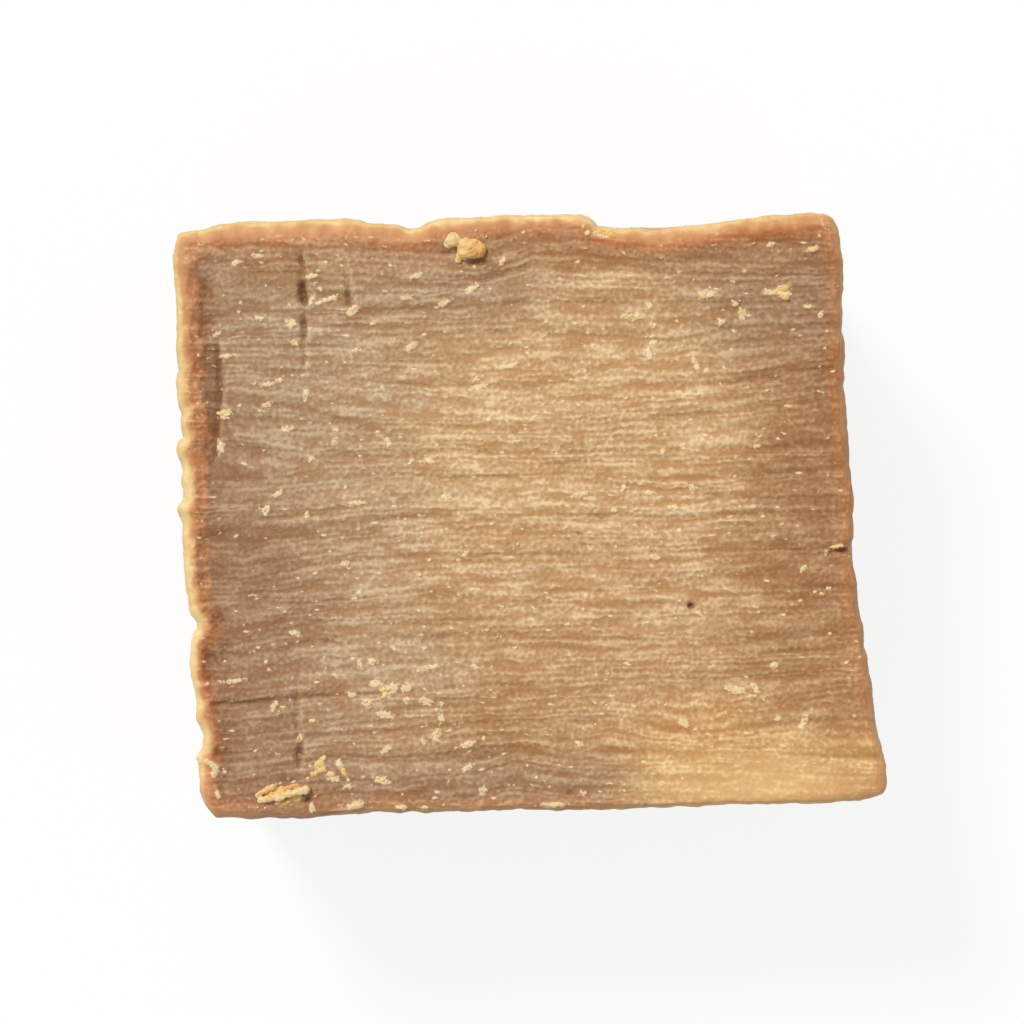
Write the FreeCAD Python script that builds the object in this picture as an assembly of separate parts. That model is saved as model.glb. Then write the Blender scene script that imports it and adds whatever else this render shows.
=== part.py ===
"""A hand-cut bar of soap: one solid block, with the drag lines of the blade on its cut face.

The bar lies on its foot with the cut face up. +X runs along the long side of the face, +Y towards
its back edge and +Z up. The origin is the middle of the bar's box, on the surface it lies on.
Every length is in millimetres, and every place on the cut face is in percent of it, counted from
the left edge and from the front edge.
"""

import FreeCAD, Part
import math
import os

# The plain block: four straight walls under the cut face.
BACK_LENGTH = 75.0
FRONT_LENGTH = 75.3
SIDE_DEPTH = 66.9  # from the back left corner to the front left corner
THICKNESS = 38.0
LEAN = 4.4  # how far the front edge stands to the right of the back edge
BACK_RISE = 0.7  # how far the back edge runs back from left to right
FRONT_RISE = 2.6  # how far the front edge runs back from left to right
CORNER_RADIUS = 1.8  # of the block's four upright corners
FOOT_RADIUS = 1.2  # of the rim round the foot

# The rim of the cut face is worn round, most on the back and left.
RIM_BACK = 2.6
RIM_RIGHT = 1.2
RIM_FRONT = 0.8
RIM_LEFT = 2.2
RIM_BLEND = 4.0  # two edges' rims blend over this far each way from their corner
RAGGED_BAND = 6.5  # the edges are ragged down to this far below the face

# Raggedness of each edge of the face, going round clockwise from the back left corner: percent along
# the straight of the edge, and millimetres outwards from the plain wall.
BACK_EDGE = (
    (0, -0.25), (2.5, -0.15), (5.5, 0.65), (8.5, 0.8), (18, 0.8), (26.5, 0.8), (28.5, 0.4),
    (32.5, 0.3), (35, -0.25), (37, -0.25), (39, 0.75), (45, 1), (54, 1.15), (62.5, 1.1), (64, 0.55),
    (65.5, -0.1), (68.5, -0.5), (71, -0.45), (73, -0.8), (75, -0.8), (82, -0.1), (88, 0.55),
    (93.5, 1), (96.5, 1.15), (100, 1.1),
)
RIGHT_EDGE = (
    (0, 0.75), (5, 0.8), (10.5, 0.6), (16.5, 0.3), (21, 0.35), (26, 0), (33.5, -0.2), (41.5, 0),
    (51, 0), (55.5, -0.35), (58.5, -0.7), (60.5, -0.4), (64.5, -0.15), (67.5, -0.2), (71, 0.05),
    (75, 0.1), (77, 0.4), (82.5, 0.7), (90.5, 0.85), (95, 1.25), (97.5, 1.7), (100, 1.65),
)
FRONT_EDGE = (
    (0, 0.25), (5, 0.5), (10.5, 0.15), (13.5, 0.4), (21.5, 0.4), (33, 0.5), (41.5, 0.5), (50, 0.3),
    (53, -0.1), (56, 0.15), (61.5, -0.05), (68.5, 0.1), (72, 0), (76, -0.4), (78.5, -0.15),
    (85, 0.25), (92.5, 0.3), (100, 0.05),
)
LEFT_EDGE = (
    (0, 0.45), (2.5, 0.8), (7, 1), (9, 0.75), (10.5, 0.05), (12.5, 0), (15.5, 0.8), (19, 0.45),
    (22, 1), (29, 0.75), (31, -0.05), (32.5, -0.05), (34, 0.6), (35.5, 0.8), (38, 0.65), (40, 1),
    (44.5, 0.95), (50, 0.95), (52.5, 1.45), (54, 0.55), (59.5, 0.45), (63, 1), (64.5, 0.8), (66, 0),
    (67.5, 0.35), (69.5, 0.1), (71.5, 0.45), (74, 0.5), (78, 0.2), (85.5, 0.1), (93.5, 0.1),
    (97.5, -0.15), (100, -0.55),
)
CORNER_CUTS = (0.8, -0.6, -0.6, 0.3)  # how far each corner of the face is worn back, clockwise

# Drag lines of the blade: long shallow grooves across the cut face.
DRAG_WIDTH = 0.9
DRAG_DEPTH = 0.3
DRAG_LINES = {
    "arch": ((52, 92), (54, 93), (61, 92.7), (67, 92), (72, 91.5), (78, 91.7), (85, 91), (94, 90.7)),
    "upper_left": ((23, 92), (30.5, 91.5), (39, 90.9), (46, 90.3)),
    "second_left": ((27.5, 85.1), (37.5, 85.3), (46, 85.5), (52, 86.9)),
    "long_left": ((21.5, 81), (27.5, 80.7), (34.5, 80.6), (41, 81), (47, 81.4)),
    "long_right": ((50, 81.6), (57, 81.4), (64, 81.2), (73, 80.4), (79, 81.4), (86.5, 81.4), (94.5, 82.1)),
    "third": ((21, 77.6), (37.5, 77.4), (44, 78.3), (54, 78.6)),
    "fourth": ((21, 74), (26.5, 73.2), (35.5, 72.8), (45, 71.9), (54, 72.1), (63, 71.9), (76, 71.7)),
    "fourth_end": ((79, 71.6), (84, 72.3), (93.5, 73.4), (97.5, 74.1)),
    "fifth": ((18, 67.3), (32.5, 66.3), (48, 65.3), (63, 65.8), (73, 66.3), (84, 66.9), (96.5, 67.8)),
    "sixth": ((9, 62.7), (17.5, 61), (26.5, 61.2), (36.5, 61.2), (47, 60.7), (56, 61.2), (69, 60.8)),
    "sixth_end": ((72, 60.6), (83, 60.4), (96.5, 61)),
    "seventh": ((9, 55.2), (21.5, 56.6), (31.5, 57), (52, 56.6), (65, 56.2), (77, 55.8), (96.5, 57.2)),
    "eighth": ((5, 48.4), (10, 48.7), (16.5, 49.3), (28.5, 49.7), (41, 49.9), (53, 49.8), (68, 49.1)),
    "ninth": ((8, 40.5), (15, 41.8), (20.5, 42.9), (30.5, 43.5), (43, 43.7), (55, 43.7), (67, 43.1)),
    "tenth": ((26.5, 40.3), (36.5, 40.4), (49, 40.1), (60, 40.4), (71, 40.6)),
    "eleventh": ((7, 35), (16, 35.5), (24.5, 36.4), (34.5, 37.3), (46, 37.4), (61, 36.6)),
    "twelfth": ((18, 29.7), (30.5, 29.8), (42, 28.9), (54, 28.7), (68, 28)),
    "low_dark": ((30, 20.8), (41, 20.8), (51, 21), (60, 21.9), (69, 21.9), (78, 21.5), (88, 22), (96, 22.5)),
    "left_dark": ((4, 19.2), (7, 19.5), (11, 19.9)),
    "lower": ((19, 13.5), (29.5, 14.1), (39, 15), (51, 14.8), (62, 14.5), (68, 13.5)),
    "foot": ((21, 9.7), (28.5, 9.2), (40, 9.5), (47, 11), (54, 9.6), (61, 8.5)),
}

# Scores: short deep cuts that run from back to front near the left of the face. Width, then places.
SCORE_DEPTH = 0.7
SCORES = {
    "back_long": (0.9, ((19.3, 95.2), (19.5, 90.8), (19.3, 87.3), (19, 82.2), (18.8, 78.9), (18.2, 74.4))),
    "back_short": (0.7, ((25.7, 93.1), (26.2, 89), (25.7, 86.4))),
    "along_edge": (1.2, ((5.4, 80), (5.5, 74.1), (5.9, 70.5), (5.1, 66.4), (4.8, 61.3), (4.2, 57.5))),
    "front": (0.8, ((15.9, 28.9), (14.7, 24.6), (14.5, 18.8), (14.4, 12), (14.2, 8.6))),
}

# Crumbs of the same soap, pressed on to the face: place, half length, half width, height, turn.
CRUMBS = {
    "left_of_pair": ((42.9, 96), 1.8, 1.4, 1.3, 60),
    "right_of_pair": ((45.4, 95.2), 2.0, 1.6, 1.7, -25),
    "tail_of_pair": ((43.6, 93.5), 1.0, 0.6, 0.6, 40),
    "curl_left": ((10.4, 4.6), 1.8, 0.7, 0.8, 30),
    "curl_right": ((13.2, 5.5), 2.0, 0.8, 1.1, 22),
    "smear_left": ((17.4, 8.6), 1.5, 1.2, 0.6, 70),
    "smear_right": ((21, 6.7), 1.2, 1.4, 0.5, 20),
    "low_middle": ((29, 20.2), 1.5, 1.1, 0.6, 35),
    "low_pair": ((35.1, 12.8), 0.7, 0.9, 0.5, 0),
    "back_pale": ((80.3, 87.9), 1.1, 0.8, 0.4, 10),
    "back_right": ((91.4, 88.2), 1.3, 0.9, 0.5, 0),
    "edge_back": ((7.2, 68.6), 0.8, 0.7, 0.6, 30),
    "edge_front": ((7, 62.9), 0.7, 0.6, 0.5, 0),
    "low_right": ((81.5, 19.2), 2.0, 0.5, 0.5, 5),
}

# Places where soap has broken out, in the same way: a height under zero goes down into the face.
HOLLOWS = {
    "pit": ((74.9, 34), 0.65, 0.45, -1.1, 10),
    "small_pit": ((50.4, 46.8), 0.4, 0.35, -0.5, 0),
    "under_curl": ((11.5, 2.8), 1.9, 0.7, -0.9, 20),
    "end_of_score": ((14.2, 10), 0.7, 1.1, -1.0, 0),
    "beside_score": ((5.1, 64), 0.8, 2.2, -0.8, 0),
}
CHIP_SIDES = 7
CHIP_TIP = 0.5  # a chip's far end is this share of its near end
CHIP_ROOT = 0.4  # crumbs start this far inside the face

# One crack, open at the right edge, running in across the face and down the wall.
CRACK_ALONG = 57.5  # percent of the right edge, from the back
CRACK_MOUTH = 0.8
CRACK_RUN_IN = 3.4
CRACK_RUN_DOWN = 9.0

CUTTER_CLEAR = 1.5  # cutters stand this far out of the surface they cut
POINTED_END = 0.15  # share of a groove's section that is left at its two ends
RIM_STEPS = 3
UP = FreeCAD.Vector(0, 0, 1)


def block_corners():
    """The four corners of the plain block, clockwise from the back left one."""
    return [
        FreeCAD.Vector(0, 0, 0),
        FreeCAD.Vector(BACK_LENGTH, BACK_RISE, 0),
        FreeCAD.Vector(LEAN + FRONT_LENGTH, FRONT_RISE - SIDE_DEPTH, 0),
        FreeCAD.Vector(LEAN, -SIDE_DEPTH, 0),
    ]


def on_face(place):
    """The point of the cut face at a place given in percent."""
    back_left, back_right, front_right, front_left = block_corners()
    across, up = place[0] / 100, place[1] / 100
    front = front_left + (front_right - front_left) * across
    back = back_left + (back_right - back_left) * across
    return front + (back - front) * up + UP * THICKNESS


def edge_of(corners, number):
    """Where an edge starts, its direction, its length and the way out of the bar."""
    along = corners[(number + 1) % 4] - corners[number]
    length = along.Length
    along = along.normalize()
    return corners[number], along, length, FreeCAD.Vector(-along.y, along.x, 0)


def inset_corners(insets):
    """The corners of the block with each edge moved in by its own distance."""
    corners = block_corners()
    moved = []
    for number, corner in enumerate(corners):
        out_before = edge_of(corners, number - 1)[3]
        out_after = edge_of(corners, number)[3]
        before, after = -insets[number - 1], -insets[number]
        turn = out_before.x * out_after.y - out_before.y * out_after.x
        across = (before * out_after.y - after * out_before.y) / turn
        back = (out_before.x * after - out_after.x * before) / turn
        moved.append(corner + FreeCAD.Vector(across, back, 0))
    return moved


def corner_round(corners, number):
    """How far a corner's round reaches along its edges, its middle and the way in from it."""
    after = edge_of(corners, number)[1]
    before = edge_of(corners, number - 1)[1] * -1
    half_angle = before.getAngle(after) / 2
    inwards = (before + after).normalize()
    middle = corners[number] + inwards * (CORNER_RADIUS / math.sin(half_angle) - CORNER_RADIUS)
    return CORNER_RADIUS / math.tan(half_angle), middle, inwards


def edge_points(corners, number, edge, drops, ragged):
    """Points along the straight of an edge. Near a corner their drop blends with the next edge's."""
    start, along, length, outwards = edge_of(corners, number)
    first = corner_round(corners, number)[0]
    last = corner_round(corners, (number + 1) % 4)[0]
    points = []
    for percent, out in edge:
        distance = first + (length - first - last) * percent / 100
        other = drops[number - 1] if distance < length / 2 else drops[(number + 1) % 4]
        own = min(1.0, 0.5 + min(distance, length - distance) / RIM_BLEND / 2)
        drop = drops[number] * own + other * (1 - own)
        points.append(start + along * distance + outwards * (out * ragged) + UP * (THICKNESS - drop))
    return points


def edge_curve(points, edge, ragged):
    """A straight line for a plain wall, or a smooth curve through the points of a ragged one."""
    if not ragged:
        return Part.LineSegment(points[0], points[-1])
    curve = Part.BSplineCurve()
    curve.interpolate(Points=points, Parameters=[percent / 100 for percent, _ in edge])
    return curve


def ring(drops, insets, ragged):
    """A closed wire of four edges and four round corners, plain (0) or ragged (1).

    Drops and insets say for each edge how far the wire lies below the face and in from the wall.
    """
    corners = inset_corners(insets)
    sides = (BACK_EDGE, RIGHT_EDGE, FRONT_EDGE, LEFT_EDGE)
    lines = [edge_points(corners, number, edge, drops, ragged) for number, edge in enumerate(sides)]
    edges = []
    for number, edge in enumerate(sides):
        _, middle, inwards = corner_round(corners, number)
        drop = (drops[number - 1] + drops[number]) / 2
        middle += inwards * (CORNER_CUTS[number] * ragged) + UP * (THICKNESS - drop)
        edges.append(Part.Arc(lines[number - 1][-1], middle, lines[number][0]).toShape())
        edges.append(edge_curve(lines[number], edge, ragged).toShape())
    return Part.Wire(edges)


def plain_block():
    """The lower part of the bar: straight walls, upright round corners and a rounded foot."""
    outline = ring([THICKNESS] * 4, [0.0] * 4, ragged=0)
    height = THICKNESS - RAGGED_BAND
    solid = Part.Face(outline).extrude(UP * height)
    foot_edges = [edge for edge in solid.Edges if edge.BoundBox.ZMax < height / 2]
    return solid.makeFillet(FOOT_RADIUS, foot_edges)


def ragged_rim():
    """The upper part of the bar: from the plain walls out to the ragged edges, and round to the face."""
    rims = (RIM_BACK, RIM_RIGHT, RIM_FRONT, RIM_LEFT)
    wires = [ring([RAGGED_BAND] * 4, [0.0] * 4, ragged=0)]
    for step in range(RIM_STEPS + 1):
        turn = math.radians(90 * step / RIM_STEPS)
        drops = [rim * (1 - math.sin(turn)) for rim in rims]
        insets = [rim * (1 - math.cos(turn)) for rim in rims]
        wires.append(ring(drops, insets, ragged=1))
    return Part.makeLoft(wires, True, True)


def groove(places, width, depth):
    """A cutter with a V section that follows places on the face and runs out at both ends."""
    points = [on_face(place) for place in places]
    sections = []
    for number, point in enumerate(points):
        before = points[max(number - 1, 0)]
        after = points[min(number + 1, len(points) - 1)]
        along = (after - before).normalize()
        across = FreeCAD.Vector(-along.y, along.x, 0)
        size = POINTED_END if number in (0, len(points) - 1) else 1.0
        half = width * size / 2
        deep = depth * size
        spread = across * (half * (deep + CUTTER_CLEAR) / deep)
        sides = [point + UP * CUTTER_CLEAR - spread, point - UP * deep, point + UP * CUTTER_CLEAR + spread]
        sections.append(Part.makePolygon(sides + sides[:1]))
    return Part.makeLoft(sections, True, True)


def chip(place, half_length, half_width, height, turn):
    """A many-sided lump that tapers away from the face: up for a crumb, down for a hollow."""
    near_end = -CHIP_ROOT if height > 0 else CUTTER_CLEAR
    sections = []
    for level, size in ((near_end, 1.0), (height, CHIP_TIP)):
        points = []
        for side in range(CHIP_SIDES):
            angle = math.radians(360 * side / CHIP_SIDES)
            point = FreeCAD.Vector(half_length * math.cos(angle), half_width * math.sin(angle), 0)
            points.append(point * size + UP * level)
        sections.append(Part.makePolygon(points + points[:1]))
    shape = Part.makeLoft(sections, True, True)
    shape.rotate(FreeCAD.Vector(0, 0, 0), UP, turn)
    shape.translate(on_face(place))
    return shape


def crack():
    """A cutter for the crack: widest at the mouth, and pointed inwards and at its lower end."""
    start, along, length, outwards = edge_of(block_corners(), 1)
    mouth = start + along * (length * CRACK_ALONG / 100) + UP * THICKNESS
    outside = mouth + outwards * CUTTER_CLEAR
    half = along * (CRACK_MOUTH / 2)
    top = [outside - half, outside + half, mouth - outwards * CRACK_RUN_IN]
    top = [point + UP * CUTTER_CLEAR for point in top]
    tip = outside - UP * CRACK_RUN_DOWN
    faces = [Part.Face(Part.makePolygon(top + top[:1]))]
    for number in range(3):
        side = [top[number], top[(number + 1) % 3], tip]
        faces.append(Part.Face(Part.makePolygon(side + side[:1])))
    solid = Part.makeSolid(Part.makeShell(faces))
    if solid.Volume < 0:
        solid.reverse()
    return solid


def soap_bar():
    """The whole bar, on its foot, with the middle of its box over the origin."""
    cutters = [groove(places, DRAG_WIDTH, DRAG_DEPTH) for places in DRAG_LINES.values()]
    cutters += [groove(places, width, SCORE_DEPTH) for width, places in SCORES.values()]
    cutters += [chip(*hollow) for hollow in HOLLOWS.values()]
    crumbs = [chip(*crumb) for crumb in CRUMBS.values()]
    shape = plain_block().fuse(ragged_rim()).cut(cutters + [crack()]).fuse(crumbs)
    middle = shape.optimalBoundingBox().Center
    shape.translate(FreeCAD.Vector(-middle.x, -middle.y, 0))
    return shape


def main():
    os.makedirs("parts", exist_ok=True)
    solids = soap_bar().Solids
    if len(solids) != 1 or not solids[0].isValid():
        raise RuntimeError("the bar isn't one sound solid")
    solids[0].exportStep("parts/soap_bar.step")


if __name__ == "__main__":
    main()
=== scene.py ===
"""The looks of a hand-cut bar of soap: its waxy block, the crumbs stuck to its cut face, and a stage.

Lengths in the settings are metres, as the frame's are. The lists of measured shapes, and the
functions that work on them, are in millimetres.
"""

import math
import random

import bpy
import numpy as np
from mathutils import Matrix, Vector, noise
from mathutils.bvhtree import BVHTree


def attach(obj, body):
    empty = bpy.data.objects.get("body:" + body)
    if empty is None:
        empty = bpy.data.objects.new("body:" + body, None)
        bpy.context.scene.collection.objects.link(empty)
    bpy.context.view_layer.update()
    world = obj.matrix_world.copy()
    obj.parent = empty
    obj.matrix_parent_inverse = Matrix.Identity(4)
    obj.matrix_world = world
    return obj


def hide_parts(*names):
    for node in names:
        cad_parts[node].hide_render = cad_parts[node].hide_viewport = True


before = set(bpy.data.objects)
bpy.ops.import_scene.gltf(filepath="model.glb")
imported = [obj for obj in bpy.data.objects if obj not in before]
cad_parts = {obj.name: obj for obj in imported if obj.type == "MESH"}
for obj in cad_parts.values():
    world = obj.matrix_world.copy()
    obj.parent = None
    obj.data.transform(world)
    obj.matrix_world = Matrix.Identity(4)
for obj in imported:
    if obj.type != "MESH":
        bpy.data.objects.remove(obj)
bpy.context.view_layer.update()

bl_info = {
    "name": "Hand-cut soap",
    "version": (1, 0, 0),
    "blender": (4, 5, 0),
    "location": "3D View > Sidebar > Soap",
    "description": "Builds the block, the crumbs and the stage of a hand-cut bar of soap",
    "category": "Object",
}

NODE = "soap_bar"
MM = 0.001
FACE_LEVEL = 38.0  # height of the cut face over the foot
FLAT_TOP = 35.5  # below this level the ragged outline starts to pass into the plain walls
PLAIN_LEVEL = 31.5  # below this level the walls are plain
CORNER_ROUND = 1.8
FOOT_ROUND = 1.2
RIM_DEPTH = 2.0  # how far under the cut face the mesh is still fine
LIP_HEIGHT = 0.16  # of the wax pushed up beside a score
CREASE_STEP = 0.14
RIBBON_HEIGHT = 0.28
SMEAR_HEIGHT = 0.10
WALL_MARKS = 0.05  # depth of the faint marks on the plain walls
QUIET_ZONE = 0.05  # weight of plain tan where no zone of colour reaches
PRESSED = 0.75  # share of their height that the larger crumbs keep
SPECK_SEED = 41

# Corners of the plain walls: back left, back right, front right, front left.
CORNERS = ((-40.7, 32.6), (34.3, 33.3), (39.0, -31.7), (-36.3, -34.3))

# Outline of the cut face, edge by edge and clockwise from the back left corner.
OUTLINE = {
    "back": (
        (-40.2, 31.7), (-39.9, 32.1), (-38.6, 32.3), (-37.4, 32.4), (-36.3, 32.8), (-35.0, 33.1),
        (-33.0, 33.35), (-29.0, 33.4), (-25.3, 33.5), (-22.5, 33.65), (-19.7, 33.6), (-18.5, 33.2),
        (-16.8, 33.1), (-15.0, 33.05), (-13.8, 32.6), (-12.5, 32.7), (-11.7, 33.2), (-10.8, 33.6),
        (-9.4, 33.8), (-6.5, 33.9), (-4.0, 34.05), (-1.2, 34.1), (2.5, 34.15), (5.6, 34.1), (6.7, 33.7),
        (7.6, 32.9), (9.0, 32.65), (10.2, 32.5), (11.6, 32.7), (12.6, 32.6), (13.3, 32.3), (15.2, 32.4),
        (16.2, 32.7), (18.2, 32.95), (20.2, 33.15), (21.7, 33.4), (24.4, 33.8), (27.8, 34.1), (30.8, 34.3),
        (33.2, 34.25)),
    "right": (
        (34.2, 33.8), (34.8, 33.0), (35.05, 31.6), (35.2, 30.0), (35.5, 28.6), (35.45, 25.6), (35.3, 24.2),
        (35.45, 22.8), (35.35, 21.0), (35.6, 19.4), (35.65, 18.2), (35.5, 16.6), (35.7, 15.6), (35.55, 14.8),
        (35.75, 12.5), (35.75, 10.2), (36.0, 8.9), (36.15, 7.2), (36.25, 4.6), (36.5, 3.2), (36.6, 0.8),
        (36.55, -2.6), (36.3, -3.3), (36.0, -3.8), (36.3, -4.3), (36.55, -5.3), (36.85, -7.0), (37.1, -8.6),
        (37.15, -10.2), (37.4, -11.6), (37.7, -13.4), (37.85, -15.0), (38.2, -16.2), (38.45, -18.4),
        (38.75, -19.8), (38.9, -21.8), (39.15, -23.4), (39.45, -25.2), (39.8, -26.6), (40.3, -28.3),
        (40.45, -29.9)),
    "front": (
        (40.4, -30.7), (40.0, -31.4), (39.3, -31.9), (38.2, -32.1), (37.2, -32.35), (35.0, -32.45),
        (32.6, -32.6), (30.2, -32.6), (27.8, -32.65), (24.5, -32.7), (21.7, -32.75), (19.5, -32.9),
        (16.5, -33.05), (13.0, -33.2), (8.0, -33.25), (3.0, -33.4), (-1.2, -33.25), (-4.0, -33.4),
        (-8.0, -33.5), (-10.8, -33.5), (-12.0, -33.7), (-13.4, -33.55), (-14.4, -33.75), (-16.0, -33.5),
        (-18.0, -33.45), (-19.2, -33.8), (-21.5, -33.95), (-23.8, -34.05), (-25.0, -34.3), (-27.0, -34.3),
        (-31.5, -34.3)),
    "left": (
        (-35.6, -34.25), (-36.3, -33.8), (-36.9, -32.7), (-37.4, -31.3), (-37.6, -29.7), (-37.75, -28.2),
        (-37.8, -27.2), (-37.2, -26.1), (-37.15, -24.8), (-37.5, -23.7), (-37.95, -22.8), (-37.9, -21.0),
        (-38.2, -19.8), (-38.5, -18.6), (-38.55, -16.0), (-38.45, -14.2), (-38.2, -13.3), (-37.7, -12.7),
        (-37.8, -12.1), (-38.5, -11.3), (-38.8, -10.4), (-38.9, -8.9), (-39.2, -7.4), (-39.3, -5.6),
        (-39.4, -3.6), (-39.5, -0.9), (-40.0, 0.1), (-40.2, 0.8), (-39.8, 1.4), (-39.3, 1.9), (-39.4, 2.8),
        (-39.7, 3.9), (-39.5, 4.9), (-39.8, 6.3), (-40.2, 7.6), (-40.0, 8.5), (-39.4, 8.9), (-39.6, 10.2),
        (-39.6, 11.6), (-40.0, 12.4), (-40.2, 13.8), (-40.2, 15.3), (-39.9, 16.4), (-40.15, 17.8),
        (-40.15, 20.5), (-40.15, 23.4), (-40.35, 25.0), (-40.5, 27.0), (-40.55, 29.2), (-40.3, 30.4)),
}

# The rim round the face. Each line: how far round (edge number and share of the edge), width and
# drop of its rounding, height of its lip and reach of the lip inwards, width and strength of its
# cream line (a painted highlight, strongest on the back and left rims that face the lamp), width and
# strength of its warm band, redness of the band, brown inside it (partly browner wax, partly the
# painted shadow of the raised rim), and how far the band is a raised ribbon with a torn inner edge.
RIM_NAMES = ("width", "drop", "lip", "lip_reach", "cream_width", "cream", "warm_width", "warm", "red",
             "brown", "ribbon")
RIM = (
    (0.00, 1.6, 1.4, 0.05, 1.0, 0.80, 0.85, 2.4, 0.90, 0.00, 0.7, 0.4),
    (0.10, 2.4, 1.6, 0.15, 1.5, 0.75, 0.80, 2.8, 1.00, 0.20, 0.5, 0.1),
    (0.30, 2.2, 1.6, 0.15, 1.5, 0.80, 0.80, 2.6, 1.00, 0.15, 0.5, 0.0),
    (0.42, 2.2, 1.6, 0.10, 2.0, 0.90, 0.90, 2.2, 1.00, 0.50, 0.5, 0.0),
    (0.60, 2.0, 1.5, 0.10, 2.0, 0.90, 0.90, 2.1, 1.00, 0.70, 0.5, 0.0),
    (0.66, 1.8, 1.4, 0.10, 2.0, 0.70, 0.90, 2.1, 1.00, 0.80, 0.4, 0.0),
    (0.80, 2.0, 1.5, 0.10, 2.0, 0.80, 0.85, 2.6, 1.00, 1.00, 0.5, 0.0),
    (0.95, 1.8, 1.3, 0.05, 2.0, 0.60, 0.60, 2.8, 1.00, 1.00, 0.4, 0.0),
    (1.00, 1.1, 0.9, 0.05, 1.0, 0.30, 0.50, 2.4, 0.90, 0.50, 0.5, 0.0),
    (1.10, 0.9, 0.8, 0.00, 1.0, 0.20, 0.30, 1.8, 0.45, 1.00, 0.4, 0.0),
    (1.30, 0.9, 0.8, 0.00, 1.0, 0.20, 0.10, 1.8, 0.45, 1.00, 0.4, 0.0),
    (1.60, 0.9, 0.8, 0.00, 1.0, 0.20, 0.15, 1.8, 0.45, 1.00, 0.3, 0.0),
    (1.80, 0.9, 0.8, 0.10, 1.0, 0.25, 0.25, 1.8, 0.40, 0.50, 0.1, 0.0),
    (1.92, 0.9, 0.8, 0.10, 1.0, 0.30, 0.30, 1.2, 0.50, 0.20, 0.0, 0.0),
    (2.00, 1.1, 0.9, 0.05, 1.0, 0.40, 0.30, 1.4, 0.50, 0.30, 0.0, 0.0),
    (2.20, 0.7, 0.6, 0.00, 1.0, 0.20, 0.30, 0.9, 0.40, 0.20, 0.0, 0.0),
    (2.38, 0.6, 0.5, 0.00, 1.0, 0.30, 0.40, 1.0, 0.30, 0.20, 0.1, 0.0),
    (2.47, 0.6, 0.5, 0.00, 1.0, 0.40, 0.25, 1.6, 0.55, 0.70, 0.5, 0.0),
    (2.58, 0.6, 0.5, 0.00, 1.0, 0.40, 0.20, 1.5, 0.55, 0.70, 0.5, 0.0),
    (2.72, 0.6, 0.5, 0.00, 1.0, 0.50, 0.30, 1.6, 0.50, 0.60, 0.6, 0.0),
    (2.82, 0.6, 0.5, 0.00, 1.0, 0.50, 0.25, 1.8, 0.50, 0.70, 0.8, 0.0),
    (2.88, 0.6, 0.5, 0.00, 1.0, 0.20, 0.05, 2.2, 0.35, 1.00, 1.0, 0.0),
    (2.95, 0.7, 0.6, 0.05, 1.0, 0.20, 0.00, 2.0, 0.20, 1.00, 1.0, 0.0),
    (3.03, 1.2, 1.0, 0.15, 0.5, 0.60, 0.30, 2.2, 0.90, 0.10, 0.8, 0.8),
    (3.10, 1.5, 1.2, 0.30, 0.5, 1.20, 0.95, 2.1, 1.00, 0.10, 0.9, 0.6),
    (3.25, 1.4, 1.1, 0.20, 0.8, 0.95, 1.00, 1.9, 1.00, 1.00, 0.6, 0.2),
    (3.40, 1.4, 1.1, 0.25, 0.5, 1.40, 1.00, 2.3, 1.00, 0.15, 0.8, 0.7),
    (3.60, 1.6, 1.2, 0.35, 0.5, 1.45, 1.00, 2.4, 1.00, 0.10, 0.9, 0.8),
    (3.80, 1.6, 1.2, 0.40, 0.5, 1.25, 0.95, 2.5, 1.00, 0.05, 0.9, 1.0),
    (3.95, 1.6, 1.3, 0.20, 0.8, 0.70, 0.80, 2.4, 0.90, 0.10, 0.8, 0.8),
    (4.00, 1.6, 1.4, 0.05, 1.0, 0.80, 0.85, 2.4, 0.90, 0.10, 0.7, 0.4),
)

# Drag lines of the blade, as places on the face: percent from the left, percent from the front.
DRAG_LINES = (
    ((20, 92.5), (30, 91.5), (39, 90.9), (46, 90.3), (52, 92), (54, 93), (61, 92.7), (72, 91.5), (94, 90.7)),
    ((6, 85), (20, 85), (37.5, 85.3), (46, 85.5), (52, 86.9), (70, 86.5), (95, 86.8)),
    ((7, 80.6), (21.5, 81), (34.5, 80.6), (47, 81.4), (57, 81.4), (73, 80.4), (79, 81.4), (94.5, 82.1)),
    ((7, 75), (21, 74), (35.5, 72.8), (45, 71.9), (63, 71.9), (76, 71.7), (84, 72.3), (97.5, 74.1)),
    ((6, 68.5), (18, 67.3), (32.5, 66.3), (48, 65.3), (63, 65.8), (84, 66.9), (96.5, 67.8)),
    ((6, 63.5), (17.5, 61), (36.5, 61.2), (47, 60.7), (69, 60.8), (96.5, 61)),
    ((9, 55.2), (21.5, 56.6), (31.5, 57), (52, 56.6), (77, 55.8), (96.5, 57.2)),
    ((5, 48.4), (16.5, 49.3), (28.5, 49.7), (53, 49.8), (68, 49.1), (96, 49.5)),
    ((8, 40.5), (15, 41.8), (20.5, 42.9), (30.5, 43.5), (55, 43.7), (67, 43.1), (96, 43.5)),
    ((7, 35), (16, 35.5), (24.5, 36.4), (34.5, 37.3), (46, 37.4), (61, 36.6), (95, 36.5)),
    ((5, 27.5), (18, 29.7), (30.5, 29.8), (54, 28.7), (68, 28), (96, 28.5)),
    ((4, 19.2), (11, 19.9), (30, 20.8), (51, 21), (69, 21.9), (78, 21.5), (96, 22.5)),
    ((5, 12), (19, 13.5), (29.5, 14.1), (39, 15), (51, 14.8), (62, 14.5), (72, 11.8), (96, 13)),
    ((4, 8), (21, 9.7), (28.5, 9.2), (40, 9.5), (47, 11), (54, 9.6), (68, 8.8), (96, 7)),
)

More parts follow.
